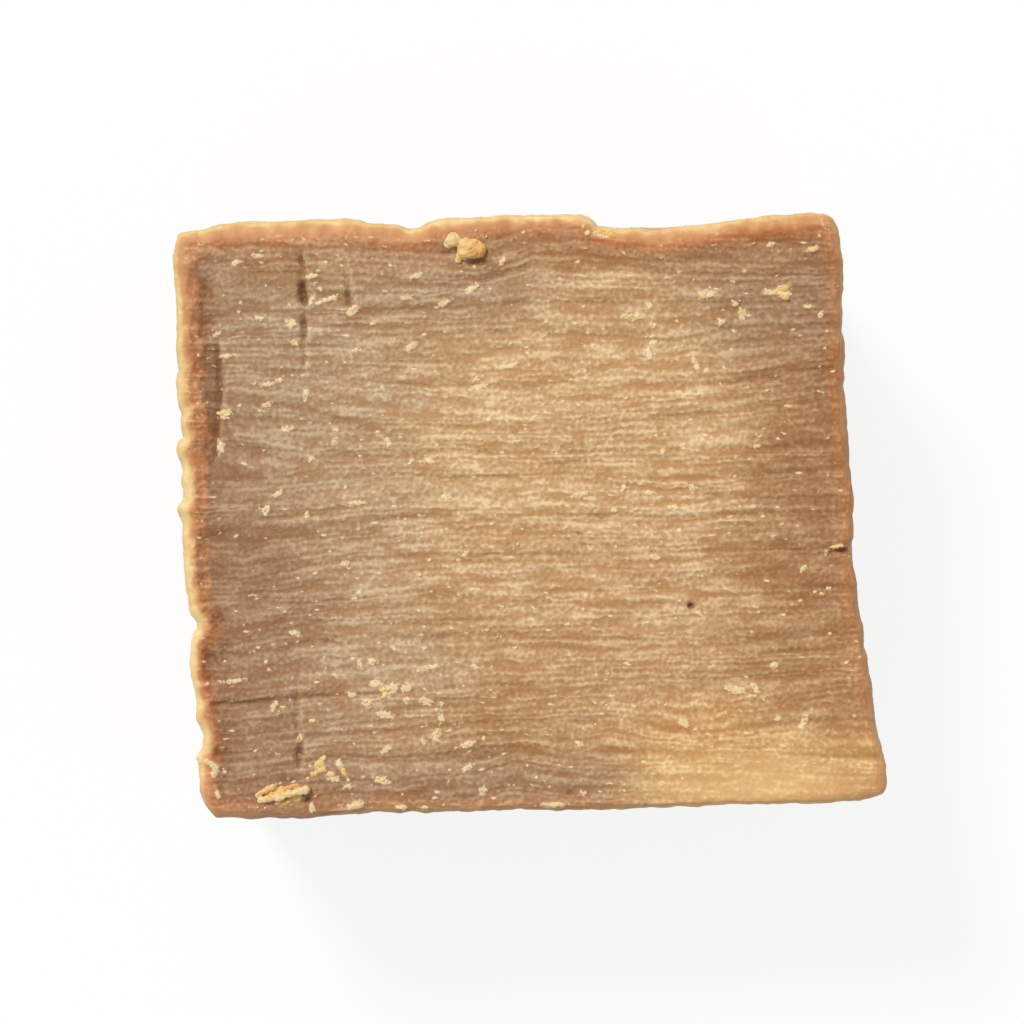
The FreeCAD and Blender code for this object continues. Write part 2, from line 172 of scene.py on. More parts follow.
# Scores across the grain: points with their half width and depth.
SCORES = {
    "back_long": (
        (-26.0, 29.9, 0.20, 0.20), (-25.9, 29.0, 0.30, 0.60), (-25.7, 27.9, 0.25, 0.35),
        (-25.7, 26.7, 0.30, 0.40), (-25.8, 25.8, 0.50, 0.90), (-25.6, 24.3, 0.45, 0.90),
        (-25.4, 23.4, 0.20, 0.20), (-25.5, 22.4, 0.25, 0.30), (-25.6, 21.7, 0.40, 0.70),
        (-25.6, 20.2, 0.35, 0.60), (-25.5, 19.2, 0.15, 0.25), (-25.5, 17.9, 0.20, 0.40),
        (-25.7, 15.4, 0.15, 0.20)),
    "back_short": (
        (-21.0, 28.5, 0.20, 0.15), (-20.6, 26.5, 0.20, 0.25), (-20.6, 24.9, 0.40, 0.50),
        (-20.5, 23.9, 0.40, 0.60), (-20.5, 23.1, 0.15, 0.10)),
    "along_edge": (
        (-35.3, 19.7, 0.30, 0.30), (-35.4, 18.4, 0.40, 0.60), (-35.3, 16.1, 0.50, 0.90),
        (-35.1, 14.3, 0.45, 0.80), (-35.2, 12.4, 0.35, 0.60), (-35.4, 10.2, 0.35, 0.60),
        (-35.5, 8.4, 0.30, 0.50), (-35.7, 6.7, 0.30, 0.50), (-35.7, 5.8, 0.15, 0.10)),
    "front": (
        (-25.8, -14.7, 0.15, 0.15), (-26.2, -18.7, 0.15, 0.15), (-26.4, -20.7, 0.30, 0.40),
        (-26.5, -23.4, 0.30, 0.40), (-26.0, -25.0, 0.15, 0.10), (-25.9, -25.9, 0.40, 0.60),
        (-26.2, -27.0, 0.50, 0.80), (-26.2, -28.2, 0.30, 0.40)),
    "right_crack": (
        (36.6, -3.9, 0.40, 0.80), (34.9, -4.0, 0.30, 0.60), (33.5, -4.3, 0.15, 0.30),
        (32.6, -4.4, 0.10, 0.10)),
    "low_left": (
        (-35.8, -21.5, 0.30, 0.40), (-34.3, -21.2, 0.40, 0.45), (-32.9, -21.3, 0.35, 0.25),
        (-30.5, -21.1, 0.25, 0.15), (-27.3, -20.9, 0.15, 0.15)),
}
CREASE = ((1.5, 28.1), (-0.2, 20.3), (-2.4, 16.9), (-5.8, 14.1), (-7.9, 12.7))

# Pits and hollows: middle, half size along x and y, depth, and how dark the painted shade in them is. The
# hollows by the left rim hold the painted shadow of its raised edge; under_crumb holds the painted shadow of
# the crumb pair, and by_curl that of the flake.
HOLLOWS = {
    "pit": (18.2, -10.2, 0.55, 0.38, 0.75, 1.0),
    "small_pit": (5.5, -2.0, 0.25, 0.20, 0.25, 0.7),
    "second_pit": (13.8, -4.0, 0.25, 0.20, 0.25, 0.6),
    "beside_crumb": (-9.5, 29.7, 0.70, 0.30, 0.25, 0.6),
    "front_mark": (4.5, -31.3, 0.60, 0.20, 0.30, 0.7),
    "arch_end": (-0.8, 27.9, 1.00, 0.25, 0.25, 0.6),
    "under_crumb": (-5.6, 28.6, 1.6, 0.5, 0.20, 0.95),
    "left_high": (-36.6, 26.0, 0.8, 1.0, 0.35, 0.45),
    "left_upper": (-36.8, 24.3, 0.9, 1.6, 0.45, 0.55),
    "left_second": (-36.6, 21.3, 0.9, 1.5, 0.45, 0.5),
    "left_third": (-36.2, 18.0, 0.7, 1.5, 0.3, 0.35),
    "left_fourth": (-36.0, 13.0, 0.7, 2.5, 0.3, 0.35),
    "left_fifth": (-36.2, 8.4, 0.8, 1.6, 0.3, 0.4),
    "left_middle": (-37.2, 1.7, 0.7, 2.0, 0.2, 0.3),
    "left_low": (-36.9, -5.1, 0.8, 4.0, 0.3, 0.4),
    "notch": (-35.3, -12.1, 1.0, 1.1, 0.5, 0.6),
    "left_deep": (-36.2, -17.0, 0.8, 2.6, 0.5, 0.55),
    "beside_deep": (-34.3, -15.3, 0.9, 1.0, 0.35, 0.5),
    "under_knob": (-35.0, -26.8, 1.0, 0.7, 0.35, 0.5),
    "corner": (-34.5, -30.5, 0.7, 1.3, 0.3, 0.4),
    "by_curl": (-25.3, -32.2, 0.55, 0.4, 0.4, 0.9),
    "over_curl": (-27.4, -30.2, 1.2, 0.6, 0.25, 0.5),
}

# The smooth golden corner, where the grain is faint: middle, and reach along x and y.
SMOOTH_CORNER = (27, -30.5, 13, 4)

# How strongly the material's lumps, lines, granules and rows count in the height of its grain.
GRAIN_SHARES = (0.31, 0.34, 0.33, 0.05)
GRAIN_HEIGHT = 0.34
SPECK_HEIGHT = 0.05

# Factors of red, green and blue: the grain's ridges are paler, partly dry dust and partly painted highlight,
# and the wax between them is darker and more orange, bare wax with painted shade.
DUST_AND_HIGHLIGHT = (1.30, 1.42, 1.50)
BARE_AND_SHADED = (0.84, 0.69, 0.52)

# How much a swing of tone moves red, green and blue: ridges turn paler, hollows darker and more orange. In
# the grain this is partly painted highlight and painted shade.
TONE_TINT = (0.7, 1.0, 1.4)

# Soft zones of colour on the face: middle, reach along x and y, colour of the settings, strength.
ZONES = {
    "middle": (5, 7, 16, 13, "sand", 1.0),
    "middle_front": (5, -8, 15, 7, "tan", 1.0),
    "front_middle": (10, -18, 14, 5, "tan", 0.9),
    "front_left_middle": (-16, -18, 8, 5, "ash", 0.9),
    "front_band": (-2, -20, 18, 3.5, "earth", 0.35),
    "front_earth": (-6, -24.5, 9, 3.5, "earth", 1.0),
    "front_dull": (-10, -31, 14, 3.5, "dull", 1.0),
    "front_left_dull": (-25, -27, 6, 6, "dull", 0.9),
    "front_left_corner": (-31, -32, 8, 3, "mauve", 1.2),
    "left_low": (-30, -12, 6, 14, "mauve", 1.3),
    "left_high": (-30, 12, 6, 10, "dull", 1.1),
    "left_inner": (-21, 6, 8, 22, "ash", 1.0),
    "left_edge": (-36.5, 0, 2.5, 30, "mauve", 1.0),
    "back_left": (-29, 24, 9, 6, "dull", 0.9),
    "back_middle": (-7, 26.5, 8, 4.0, "dull", 1.2),
    "back_rim": (-6, 30.5, 30, 2.4, "clay", 1.1),
    "back_rim_right": (28, 30.5, 12, 2.6, "russet", 1.3),
    "back_right_middle": (9, 24, 8, 4, "tan", 0.9),
    "back_right": (27, 25, 9, 6, "dull", 0.9),
    "right_high": (32, 13, 7, 11, "russet", 0.7),
    "right_low": (32, -5, 6, 9, "russet", 1.0),
    "right_edge": (36.5, 3, 2.5, 22, "clay", 1.1),
    "right_front": (31, -19, 6, 6, "earth", 1.1),
    "over_gold": (20, -24, 8, 3, "amber", 0.7),
    "gold_corner": (28.5, -30.3, 9.5, 4.2, "gold", 2.2),
    "gold_tip": (36, -29, 6, 4, "amber", 0.8),
}

# Larger crumbs, each made of balls: middle, height over the face, half sizes, turn (degrees), tone.
CRUMB_BALLS = (
    # the pair at the back edge
    (-8.8, 31.1, 0.35, 0.95, 0.85, 0.75, 20, 0.25), (-9.3, 30.7, 0.2, 0.5, 0.6, 0.5, 0, 0.2),
    (-6.7, 30.2, 0.35, 1.55, 1.15, 1.0, -15, 0.75), (-7.3, 29.8, 0.3, 1.1, 1.0, 0.9, 0, 0.6),
    (-5.9, 30.0, 0.3, 0.9, 0.95, 0.9, 0, 0.95), (-8.2, 28.9, 0.15, 0.4, 0.45, 0.4, 0, 0.3),
    (-8.0, 29.4, 0.2, 0.45, 0.5, 0.5, 0, 0.4), (-5.0, 31.5, 0.1, 0.2, 0.2, 0.2, 0, 0.5),
    # the crumpled flake at the front left; its low, folded body has a more orange tone, partly painted shade
    # under the pale ridge
    (-30.3, -32.1, 0.2, 0.6, 0.42, 0.38, 20, 0.15), (-29.4, -31.9, 0.35, 0.8, 0.44, 0.4, 12, 0.15),
    (-28.2, -31.7, 0.5, 0.9, 0.46, 0.42, 14, 0.0), (-27.1, -31.4, 0.6, 0.9, 0.48, 0.44, 14, 0.0),
    (-26.1, -31.1, 0.6, 0.8, 0.5, 0.48, 12, 0.0), (-25.3, -30.9, 0.5, 0.5, 0.56, 0.48, 0, 0.05),
    (-30.7, -31.5, 0.2, 0.55, 0.34, 0.32, 40, 0.55), (-29.9, -31.0, 0.35, 0.7, 0.34, 0.32, 36, 0.6),
    (-29.1, -30.6, 0.35, 0.6, 0.3, 0.3, 20, 0.5), (-28.4, -31.1, 0.05, 0.9, 0.5, 0.3, 20, 0.95),
    (-27.0, -30.7, 0.0, 0.9, 0.4, 0.25, 15, 0.85), (-28.0, -32.4, -0.05, 1.0, 0.4, 0.28, 12, 0.9),
    (-26.6, -32.0, -0.05, 0.9, 0.4, 0.28, 15, 0.9), (-29.9, -33.0, -0.1, 0.3, 0.2, 0.2, 0, 0.1),
    (-29.4, -31.4, 0.0, 0.8, 0.4, 0.28, 30, 0.8),
    # smears behind the flake
    (-23.8, -28.5, -0.15, 0.8, 1.0, 0.3, 20, 0.5), (-23.5, -27.3, -0.05, 0.4, 0.5, 0.26, 20, 0.25),
    (-24.6, -29.3, -0.15, 0.6, 0.4, 0.25, 0, 0.65), (-22.6, -29.3, -0.15, 0.7, 0.45, 0.25, 10, 0.55),
    (-21.1, -28.9, -0.1, 0.35, 0.7, 0.24, 20, 0.35), (-20.7, -29.8, -0.1, 0.35, 0.35, 0.22, 0, 0.25),
    # the knob at the left end of the front edge
    (-37.1, -27.5, -0.4, 0.75, 0.7, 0.5, 0, 0.0), (-36.4, -27.9, -0.2, 0.6, 0.4, 0.35, -30, 0.15),
    # the curl and the patch on the back edge
    (5.9, 32.6, -0.15, 0.45, 0.3, 0.35, 40, 0.1), (6.4, 31.9, 0.0, 0.4, 0.35, 0.35, 60, 0.15),
    (8.1, 31.9, -0.1, 1.2, 0.4, 0.35, -5, 0.8), (9.1, 31.6, -0.05, 0.5, 0.45, 0.35, 0, 0.7),
    (-6.2, 32.2, 0.0, 0.25, 0.2, 0.2, 0, 0.4),
    # chips in the back right corner
    (32.6, 31.6, -0.2, 0.6, 0.3, 0.3, -30, 0.3), (31.9, 30.1, -0.05, 0.7, 0.32, 0.3, 10, 0.25),
    (27.2, 30.6, -0.05, 0.6, 0.3, 0.3, 25, 0.25), (28.5, 25.7, -0.1, 0.85, 0.5, 0.35, 5, 0.65),
    (28.7, 24.7, -0.1, 0.65, 0.38, 0.35, -5, 0.7), (27.8, 25.2, -0.1, 0.45, 0.4, 0.3, 0, 0.5),
    # chips along the front edge
    (-19.9, -32.8, -0.2, 1.0, 0.4, 0.35, 12, 0.2), (-14.5, -33.0, -0.25, 0.55, 0.3, 0.3, 0, 0.25),
    (2.6, -32.7, -0.2, 1.5, 0.28, 0.3, 3, 0.2),
    # lips of the crack, and small crumbs by the left rim
    (34.6, -3.5, 0.0, 0.9, 0.2, 0.25, 8, 0.3), (35.6, -4.6, -0.2, 0.6, 0.2, 0.25, -10, 0.5),
    (-38.3, 8.0, -0.5, 0.5, 0.8, 0.35, 0, 0.45), (-37.8, 11.0, -0.3, 0.45, 0.35, 0.3, 20, 0.4),
)

# Flecks: middle, half length, half width, turn in degrees.
FLECKS = (
    (23.2, -19.7, 1.50, 0.38, -9), (-34.5, 11.5, 0.86, 0.55, 28), (-15.9, -19.7, 1.07, 0.64, 23),
    (19.9, 25.0, 0.97, 0.54, 18), (-35.0, 7.9, 0.86, 0.45, -85), (-7.1, -25.9, 0.86, 0.43, 25),
    (-10.6, -24.9, 0.75, 0.54, -88), (-16.8, -29.9, 1.07, 0.43, -12), (-25.4, 13.7, 0.86, 0.32, 82),
    (-22.9, 24.4, 1.50, 0.25, 21), (-33.5, -18.7, 1.61, 0.25, 8), (-13.5, 19.1, 0.86, 0.35, 27),
    (11.6, 22.4, 0.75, 0.43, 26), (-6.7, 25.6, 1.07, 0.35, 36), (-29.9, 0.5, 0.64, 0.43, 73),
    (5.5, 2.3, 1.18, 0.28, 16), (-20.2, 23.1, 0.80, 0.50, 51), (-19.8, 1.4, 1.18, 0.28, 8),
    (-16.3, -26.4, 0.75, 0.35, 35), (13.8, 19.4, 0.54, 0.43, 69), (30.9, -23.3, 0.97, 0.43, 64),
    (-27.0, 21.7, 0.64, 0.50, 11), (-18.4, -21.2, 0.54, 0.54, 50), (-10.1, -22.9, 0.64, 0.32, -87),
    (-24.8, 24.4, 0.86, 0.25, 77), (-5.4, -31.1, 0.54, 0.43, -3), (-27.6, 9.8, 0.97, 0.25, 2),
    (-26.0, -25.1, 0.54, 0.32, 53), (-24.8, 27.0, 0.75, 0.25, 14), (18.7, 17.1, 0.86, 0.32, -69),
    (25.4, -19.5, 0.75, 0.32, -58), (17.3, -23.5, 0.75, 0.38, -16), (16.1, 0.9, 0.64, 0.32, -8),
    (-5.8, 14.5, 1.29, 0.28, 12), (30.8, -6.0, 0.54, 0.28, 43), (-20.3, -20.2, 0.64, 0.32, -12),
    (-11.2, -17.1, 0.97, 0.21, 2), (27.5, -16.9, 0.64, 0.32, 28), (-28.6, 2.4, 0.75, 0.28, 37),
    (-29.7, 14.8, 0.75, 0.21, 13), (-14.0, -20.9, 0.43, 0.43, -45), (-26.6, -13.3, 0.75, 0.32, -8),
    (-14.1, 24.6, 1.07, 0.21, 3), (-17.9, -16.5, 0.43, 0.43, -27), (31.4, 23.6, 0.54, 0.28, -1),
    (-11.4, 6.2, 0.64, 0.38, -30), (23.9, 22.8, 0.75, 0.43, -84), (-34.4, 18.0, 0.97, 0.21, 8),
    (-9.5, 2.1, 0.75, 0.28, -9), (-16.1, 8.2, 0.64, 0.28, -76), (18.2, 3.2, 0.43, 0.28, 0),
    (-7.4, -4.4, 0.54, 0.28, 37), (15.0, 7.2, 0.43, 0.28, 65), (-21.0, -5.4, 0.54, 0.28, 11),
    (-30.6, 22.3, 0.54, 0.28, -16), (-7.1, -28.5, 0.75, 0.32, 33), (5.5, -25.7, 0.43, 0.28, -15),
    (-28.4, 15.3, 0.43, 0.28, 18), (-19.7, 18.7, 0.75, 0.21, 4), (-24.8, 6.4, 0.43, 0.28, 51),
    (10.5, 3.2, 0.43, 0.28, 79), (14.1, -4.8, 0.64, 0.21, -6), (-3.2, 28.7, 0.64, 0.28, 55),
    (6.0, -31.3, 0.43, 0.21, -7), (13.7, 21.5, 0.43, 0.32, -60), (19.0, -11.0, 0.43, 0.28, -32),
    (32.8, 22.7, 0.43, 0.28, 66), (21.5, 21.8, 0.64, 0.25, 28), (9.4, 0.6, 0.43, 0.28, 2),
    (13.3, 2.6, 0.64, 0.28, 2), (-25.3, 0.1, 0.43, 0.28, -85), (-29.8, 12.5, 0.64, 0.28, 20),
    (33.4, -4.2, 0.43, 0.21, 63), (-12.1, -25.5, 0.43, 0.28, -61), (-19.3, -16.8, 0.54, 0.32, -90),
    (-6.3, -17.1, 0.64, 0.21, -17), (-35.4, 20.5, 0.54, 0.25, 20), (-22.0, 9.7, 0.32, 0.28, -8),
    (-13.5, 6.1, 0.54, 0.21, 61), (23.1, 24.0, 0.43, 0.21, -39), (-29.0, -21.5, 0.64, 0.28, 58),
    (13.4, 23.8, 0.43, 0.32, -65), (25.0, 1.0, 0.64, 0.21, 11), (25.6, 7.8, 0.54, 0.21, 19),
    (-4.8, 10.7, 0.43, 0.28, 17), (-26.7, 19.5, 0.54, 0.28, -20), (-10.1, -21.3, 0.32, 0.28, 61),
)

# Smears and chips of soap on and near the rims, written as the flecks are.
SMEARS = (
    (-35.6, -28.9, 0.9, 0.35, 75), (-35.3, -31.5, 0.7, 0.30, 100), (-36.2, -28.0, 0.6, 0.35, -35),
    (-22.2, -29.8, 0.8, 0.3, -10), (-21.6, -28.0, 0.4, 0.6, 20), (-20.6, -30.6, 0.7, 0.25, 10),
    (-19.8, -32.7, 1.2, 0.40, 12), (-14.6, -33.0, 0.7, 0.30, 0), (-24.7, -33.0, 0.35, 0.6, 0),
    (-12.0, -33.1, 0.5, 0.25, 0), (2.6, -32.7, 1.8, 0.28, 3), (-33.2, 28.6, 0.7, 0.25, 18),
    (-30.8, 29.3, 0.6, 0.25, -8), (8.4, 31.7, 1.3, 0.30, -4), (27.2, 30.6, 0.6, 0.25, 28),
    (31.8, 30.1, 0.8, 0.30, 14), (28.6, 25.3, 0.8, 0.7, 0), (26.9, 25.2, 0.8, 0.30, 0),
    (34.6, -3.5, 1.0, 0.20, 8), (13.3, 18.3, 0.4, 0.7, 10), (-13.0, 27.0, 0.9, 0.3, 20),
    (-9.8, 24.0, 1.1, 0.3, 25), (-2.6, 16.9, 1.5, 0.25, 15), (-16.5, -22.5, 1.1, 0.45, -15),
    (-14.0, -19.5, 0.8, 0.4, 20), (-11.8, -21.0, 0.8, 0.4, -20), (-17.5, -19.0, 0.9, 0.35, 10),
)


GROUND_SIZE = 6.0  # metres
LAMP_SIDE = (-0.42, 0.62, 0.85)  # the side that the lamp stands on, seen from the soap
LAMP_SPREAD = 14  # degrees
LAMP_COLOUR = (1.0, 0.985, 0.96)
WHITE = (1.0, 1.0, 1.0, 1.0)
GROUND_GLOW = 0.85  # how far the camera sees the ground as plain white
PICTURE_MIDDLE = (-2.1, 0.4)
SENSOR_WIDTH = 36.0  # millimetres


class SoapBlockSettings(bpy.types.PropertyGroup):
    """Sizes of the block's relief, and the colours of its wax."""
    grid: bpy.props.FloatProperty(
        name="Grid", description="Cell of the block's mesh, before its face is divided in three",
        default=0.83 * MM, unit="LENGTH")
    ridge_height: bpy.props.FloatProperty(
        name="Ridge height", description="Height of the fine ridges between the drag lines",
        default=0.10 * MM, unit="LENGTH")
    drag_depth: bpy.props.FloatProperty(
        name="Drag depth", description="Depth of the drag lines", default=0.17 * MM, unit="LENGTH")
    swell_height: bpy.props.FloatProperty(
        name="Swell height", description="Height of the broad swells of the cut face",
        default=0.16 * MM, unit="LENGTH")
    lump_height: bpy.props.FloatProperty(
        name="Lump height", description="Height of the lumps along the ragged rims",
        default=0.20 * MM, unit="LENGTH")
    # The contrast scales the grain's tone: painted shade in its lines and drag lines, and a paler tone on its
    # ridges that is partly painted highlight.
    contrast: bpy.props.FloatProperty(
        name="Contrast", description="How far ridges are paler and lines darker than the wax between them",
        default=0.145, subtype="FACTOR")
    sand: bpy.props.FloatVectorProperty(
        name="Sand", description="Middle of the cut face", subtype="COLOR", default=(0.672, 0.434, 0.227))
    tan: bpy.props.FloatVectorProperty(
        name="Tan", description="Most of the cut face", subtype="COLOR", default=(0.584, 0.356, 0.184))
    earth: bpy.props.FloatVectorProperty(
        name="Earth", description="Browner parts of the face", subtype="COLOR", default=(0.468, 0.262, 0.122))
    dull: bpy.props.FloatVectorProperty(
        name="Dull", description="Greyer parts of the face", subtype="COLOR", default=(0.423, 0.266, 0.153))
    ash: bpy.props.FloatVectorProperty(
        name="Ash", description="Between the middle and the left part of the face", subtype="COLOR",
        default=(0.521, 0.347, 0.202))
    mauve: bpy.props.FloatVectorProperty(
        name="Mauve", description="Darkest grey parts of the face", subtype="COLOR",
        default=(0.361, 0.198, 0.107))
    russet: bpy.props.FloatVectorProperty(
        name="Russet", description="Dark parts near the right edge", subtype="COLOR",
        default=(0.381, 0.188, 0.080))
    amber: bpy.props.FloatVectorProperty(
        name="Amber", description="Orange wax round the golden corner", subtype="COLOR",
        default=(0.665, 0.381, 0.156))
    gold: bpy.props.FloatVectorProperty(
        name="Gold", description="Smooth golden corner", subtype="COLOR", default=(0.791, 0.509, 0.220))
    clay: bpy.props.FloatVectorProperty(
        name="Clay", description="Under the back rim", subtype="COLOR", default=(0.462, 0.231, 0.098))
    # Cream: a painted highlight along the outer edge of the rims.
    cream: bpy.props.FloatVectorProperty(
        name="Cream", description="Outer line of the worn rims", subtype="COLOR",
        default=(0.871, 0.651, 0.305))
    peach: bpy.props.FloatVectorProperty(
        name="Peach", description="Worn rims inside their cream line", subtype="COLOR",
        default=(0.708, 0.371, 0.144))
    salmon: bpy.props.FloatVectorProperty(
        name="Salmon", description="Inside of the worn rims", subtype="COLOR", default=(0.591, 0.270, 0.120))
    red: bpy.props.FloatVectorProperty(
        name="Red", description="Reddest parts of the rims", subtype="COLOR", default=(0.456, 0.150, 0.040))
    # Deep: painted shade at the bottom of the scores and pits.
    deep: bpy.props.FloatVectorProperty(
        name="Deep", description="Bottom of scores and pits", subtype="COLOR", default=(0.156, 0.051, 0.016))
    # Umber: painted shade inside the rims and in the scores, the crease, the pits and the hollows.
    umber: bpy.props.FloatVectorProperty(
        name="Umber", description="Shaded wax inside the rims", subtype="COLOR",
        default=(0.314, 0.147, 0.072))
    fleck: bpy.props.FloatVectorProperty(
        name="Fleck", description="Pale specks in the cut face", subtype="COLOR",
        default=(0.956, 0.776, 0.456))


def mm_place(place):
    """A place in percent on the face, as a point in mm."""
    back_left, back_right, front_right, front_left = [Vector(corner) for corner in CORNERS]
    across, up = place[0] / 100, place[1] / 100
    return front_left.lerp(front_right, across).lerp(back_left.lerp(back_right, across), up)


def smooth_step(low, high, values):
    """0 below low, 1 above high, and a smooth rise between. Low may be the larger of the two."""
    share = np.clip((values - low) / (high - low), 0, 1)
    return share * share * (3 - 2 * share)


def depth_step(low, high, z):
    """0 at the first depth under the cut face, 1 at the second, and a smooth change between."""
    return smooth_step(FACE_LEVEL - low, FACE_LEVEL - high, z)


def bell(distance, reach):
    """1 in the middle, falling smoothly to almost 0 at twice the reach."""
    return np.exp(-(distance / reach) ** 2)


def mixed(first, second, share):
    """Each row of the first colours mixed with the second colour by its share."""
    share = np.clip(share, 0, 1)[:, None]
    return first * (1 - share) + np.asarray(second) * share


def noise_at(columns, scales, shift=0.0, octaves=1):
    """Smooth noise, about -1 to 1. The scales say how many mm a cell takes in each column."""
    cells = np.zeros((len(columns[0]), 3))
    for number, (column, scale) in enumerate(zip(columns, scales)):
        cells[:, number] = column / scale
    total, size, fade = np.zeros(len(cells)), 1.0, 1.0
    for _ in range(octaves):
        total += fade * np.array([noise.noise(cell) for cell in (cells * size + shift).tolist()])
        size, fade = size * 2.1, fade * 0.5
    return total


def nearest_on_path(path, points, closed=False):
    """For each point: its distance to a path, the nearest place there, and how far along that is."""
    path = np.asarray(path, dtype=float)
    ends = np.roll(path, -1, axis=0) if closed else path[1:]
    best = np.full(len(points), np.inf)
    spots, along = np.zeros((len(points), 2)), np.zeros(len(points))
    for number, (start, end) in enumerate(zip(path, ends)):
        run = end - start
        share = np.clip(((points - start) @ run) / max(run @ run, 1e-9), 0, 1)
        places = start + share[:, None] * run
        gaps = ((points - places) ** 2).sum(axis=1)
        closer = gaps < best
        best[closer], spots[closer], along[closer] = gaps[closer], places[closer], number + share[closer]
    return np.sqrt(best), spots, along


def outline_loop():
    """The outline as one closed loop, and how far round each of its points is: edge and share of it."""
    loop, rounds = [], []
    for number, run in enumerate(OUTLINE.values()):
        points = np.array(run)
        steps = np.hypot(*np.diff(points, axis=0).T)
        travelled = np.concatenate(([0], np.cumsum(steps)))
        loop.append(points)
        rounds.append(number + travelled / (travelled[-1] + 1.0))
    return np.vstack(loop), np.append(np.concatenate(rounds), 4.0)


def plain_loop(inset=0.0):
    """The plain walls' outline with its round corners, moved in by the inset."""
    corners = np.array(CORNERS)
    middle = corners.mean(axis=0)
    points = []
    for number, corner in enumerate(corners):
        before, after = corners[number - 1] - corner, corners[(number + 1) % 4] - corner
        start = corner + before / np.hypot(*before) * CORNER_ROUND
        end = corner + after / np.hypot(*after) * CORNER_ROUND
        for share in np.linspace(0, 1, 6):
            points.append((1 - share) ** 2 * start + 2 * share * (1 - share) * corner + share ** 2 * end)
    points = np.array(points)
    return points - inset * np.sign(points - middle)


def select_none():
    for item in bpy.context.selected_objects:
        item.select_set(False)


def select_only(obj):
    """Makes one object the only one that is selected, and the active one."""
    select_none()
    obj.select_set(True)
    bpy.context.view_layer.objects.active = obj


def apply_modifier(obj, kind, **values):
    """Adds a modifier to an object, sets it and applies it."""
    select_only(obj)
    modifier = obj.modifiers.new(kind.title(), kind)
    for key, value in values.items():
        setattr(modifier, key, value)
    bpy.ops.object.modifier_apply(modifier=modifier.name)


def read_mesh(mesh):
    """The points of a mesh in mm, and their normals."""
    points, normals = np.empty(len(mesh.vertices) * 3), np.empty(len(mesh.vertices) * 3)
    mesh.vertices.foreach_get("co", points)
    mesh.vertices.foreach_get("normal", normals)
    return points.reshape(-1, 3) / MM, normals.reshape(-1, 3)


def move_points(mesh, points):
    """Puts the points of a mesh at new places in mm."""
    mesh.vertices.foreach_set("co", (points * MM).astype(np.float32).ravel())


def raised_block(name):
    """The block before its remesh: the ragged outline on top, drawn down into the plain walls."""
    top = outline_loop()[0]
    rings = [(top, FACE_LEVEL), (top, FLAT_TOP)]
    curve = 0.3 * FOOT_ROUND
    for inset, level in ((0.0, PLAIN_LEVEL), (0.0, FOOT_ROUND), (curve, curve), (FOOT_ROUND, 0)):
        rings.append((nearest_on_path(plain_loop(inset), top, closed=True)[1], level))
    select_none()
    bpy.ops.mesh.primitive_circle_add(vertices=len(top), radius=1.0, fill_type="NGON")
    block = bpy.context.active_object
    block.name = name
    mesh = block.data
    newest = list(range(len(top)))
    for number, (ring, level) in enumerate(rings):
        if number:
            bpy.ops.object.mode_set(mode="EDIT")
            bpy.ops.mesh.extrude_region_move()
            bpy.ops.object.mode_set(mode="OBJECT")
            newest = [vertex.index for vertex in mesh.vertices if vertex.select]
        for index, point in zip(newest, ring):
            mesh.vertices[index].co = Vector((point[0], point[1], level)) * MM
    bpy.ops.object.mode_set(mode="EDIT")
    bpy.ops.mesh.select_all(action="SELECT")
    bpy.ops.mesh.remove_doubles(threshold=0.01 * MM)
    bpy.ops.mesh.normals_make_consistent(inside=False)
    bpy.ops.object.mode_set(mode="OBJECT")
    return block


def divide_face(obj):
    """Divides the cells of the cut face and its rims in three each way."""
    mesh = obj.data
    centres = np.empty(len(mesh.polygons) * 3)
    mesh.polygons.foreach_get("center", centres)
    for item in (mesh.vertices, mesh.edges):
        item.foreach_set("select", np.zeros(len(item), dtype=bool))
    mesh.polygons.foreach_set("select", centres.reshape(-1, 3)[:, 2] > (FACE_LEVEL - RIM_DEPTH) * MM)
    select_only(obj)
    bpy.context.tool_settings.mesh_select_mode = (False, False, True)
    bpy.ops.object.mode_set(mode="EDIT")
    bpy.ops.mesh.subdivide(number_cuts=2)
    bpy.ops.object.mode_set(mode="OBJECT")


def flow_of(x, y):
    """Each point's place across the drag lines (it is constant along a line), and the lines' levels."""
    levels, bends = [], []
    for line in DRAG_LINES:
        places = np.array([mm_place(place)[:] for place in line])
        levels.append(places[:, 1].mean())
        bends.append(np.interp(x, places[:, 0], places[:, 1]) - levels[-1])
    order = np.argsort(levels)
    levels, bends = np.array(levels)[order], np.array(bends)[order]
    upper = np.clip(np.searchsorted(levels, y), 1, len(levels) - 1)
    share = np.clip((y - levels[upper - 1]) / (levels[upper] - levels[upper - 1]), 0, 1)
    rows = np.arange(len(x))
    return y - bends[upper - 1, rows] * (1 - share) - bends[upper, rows] * share, levels


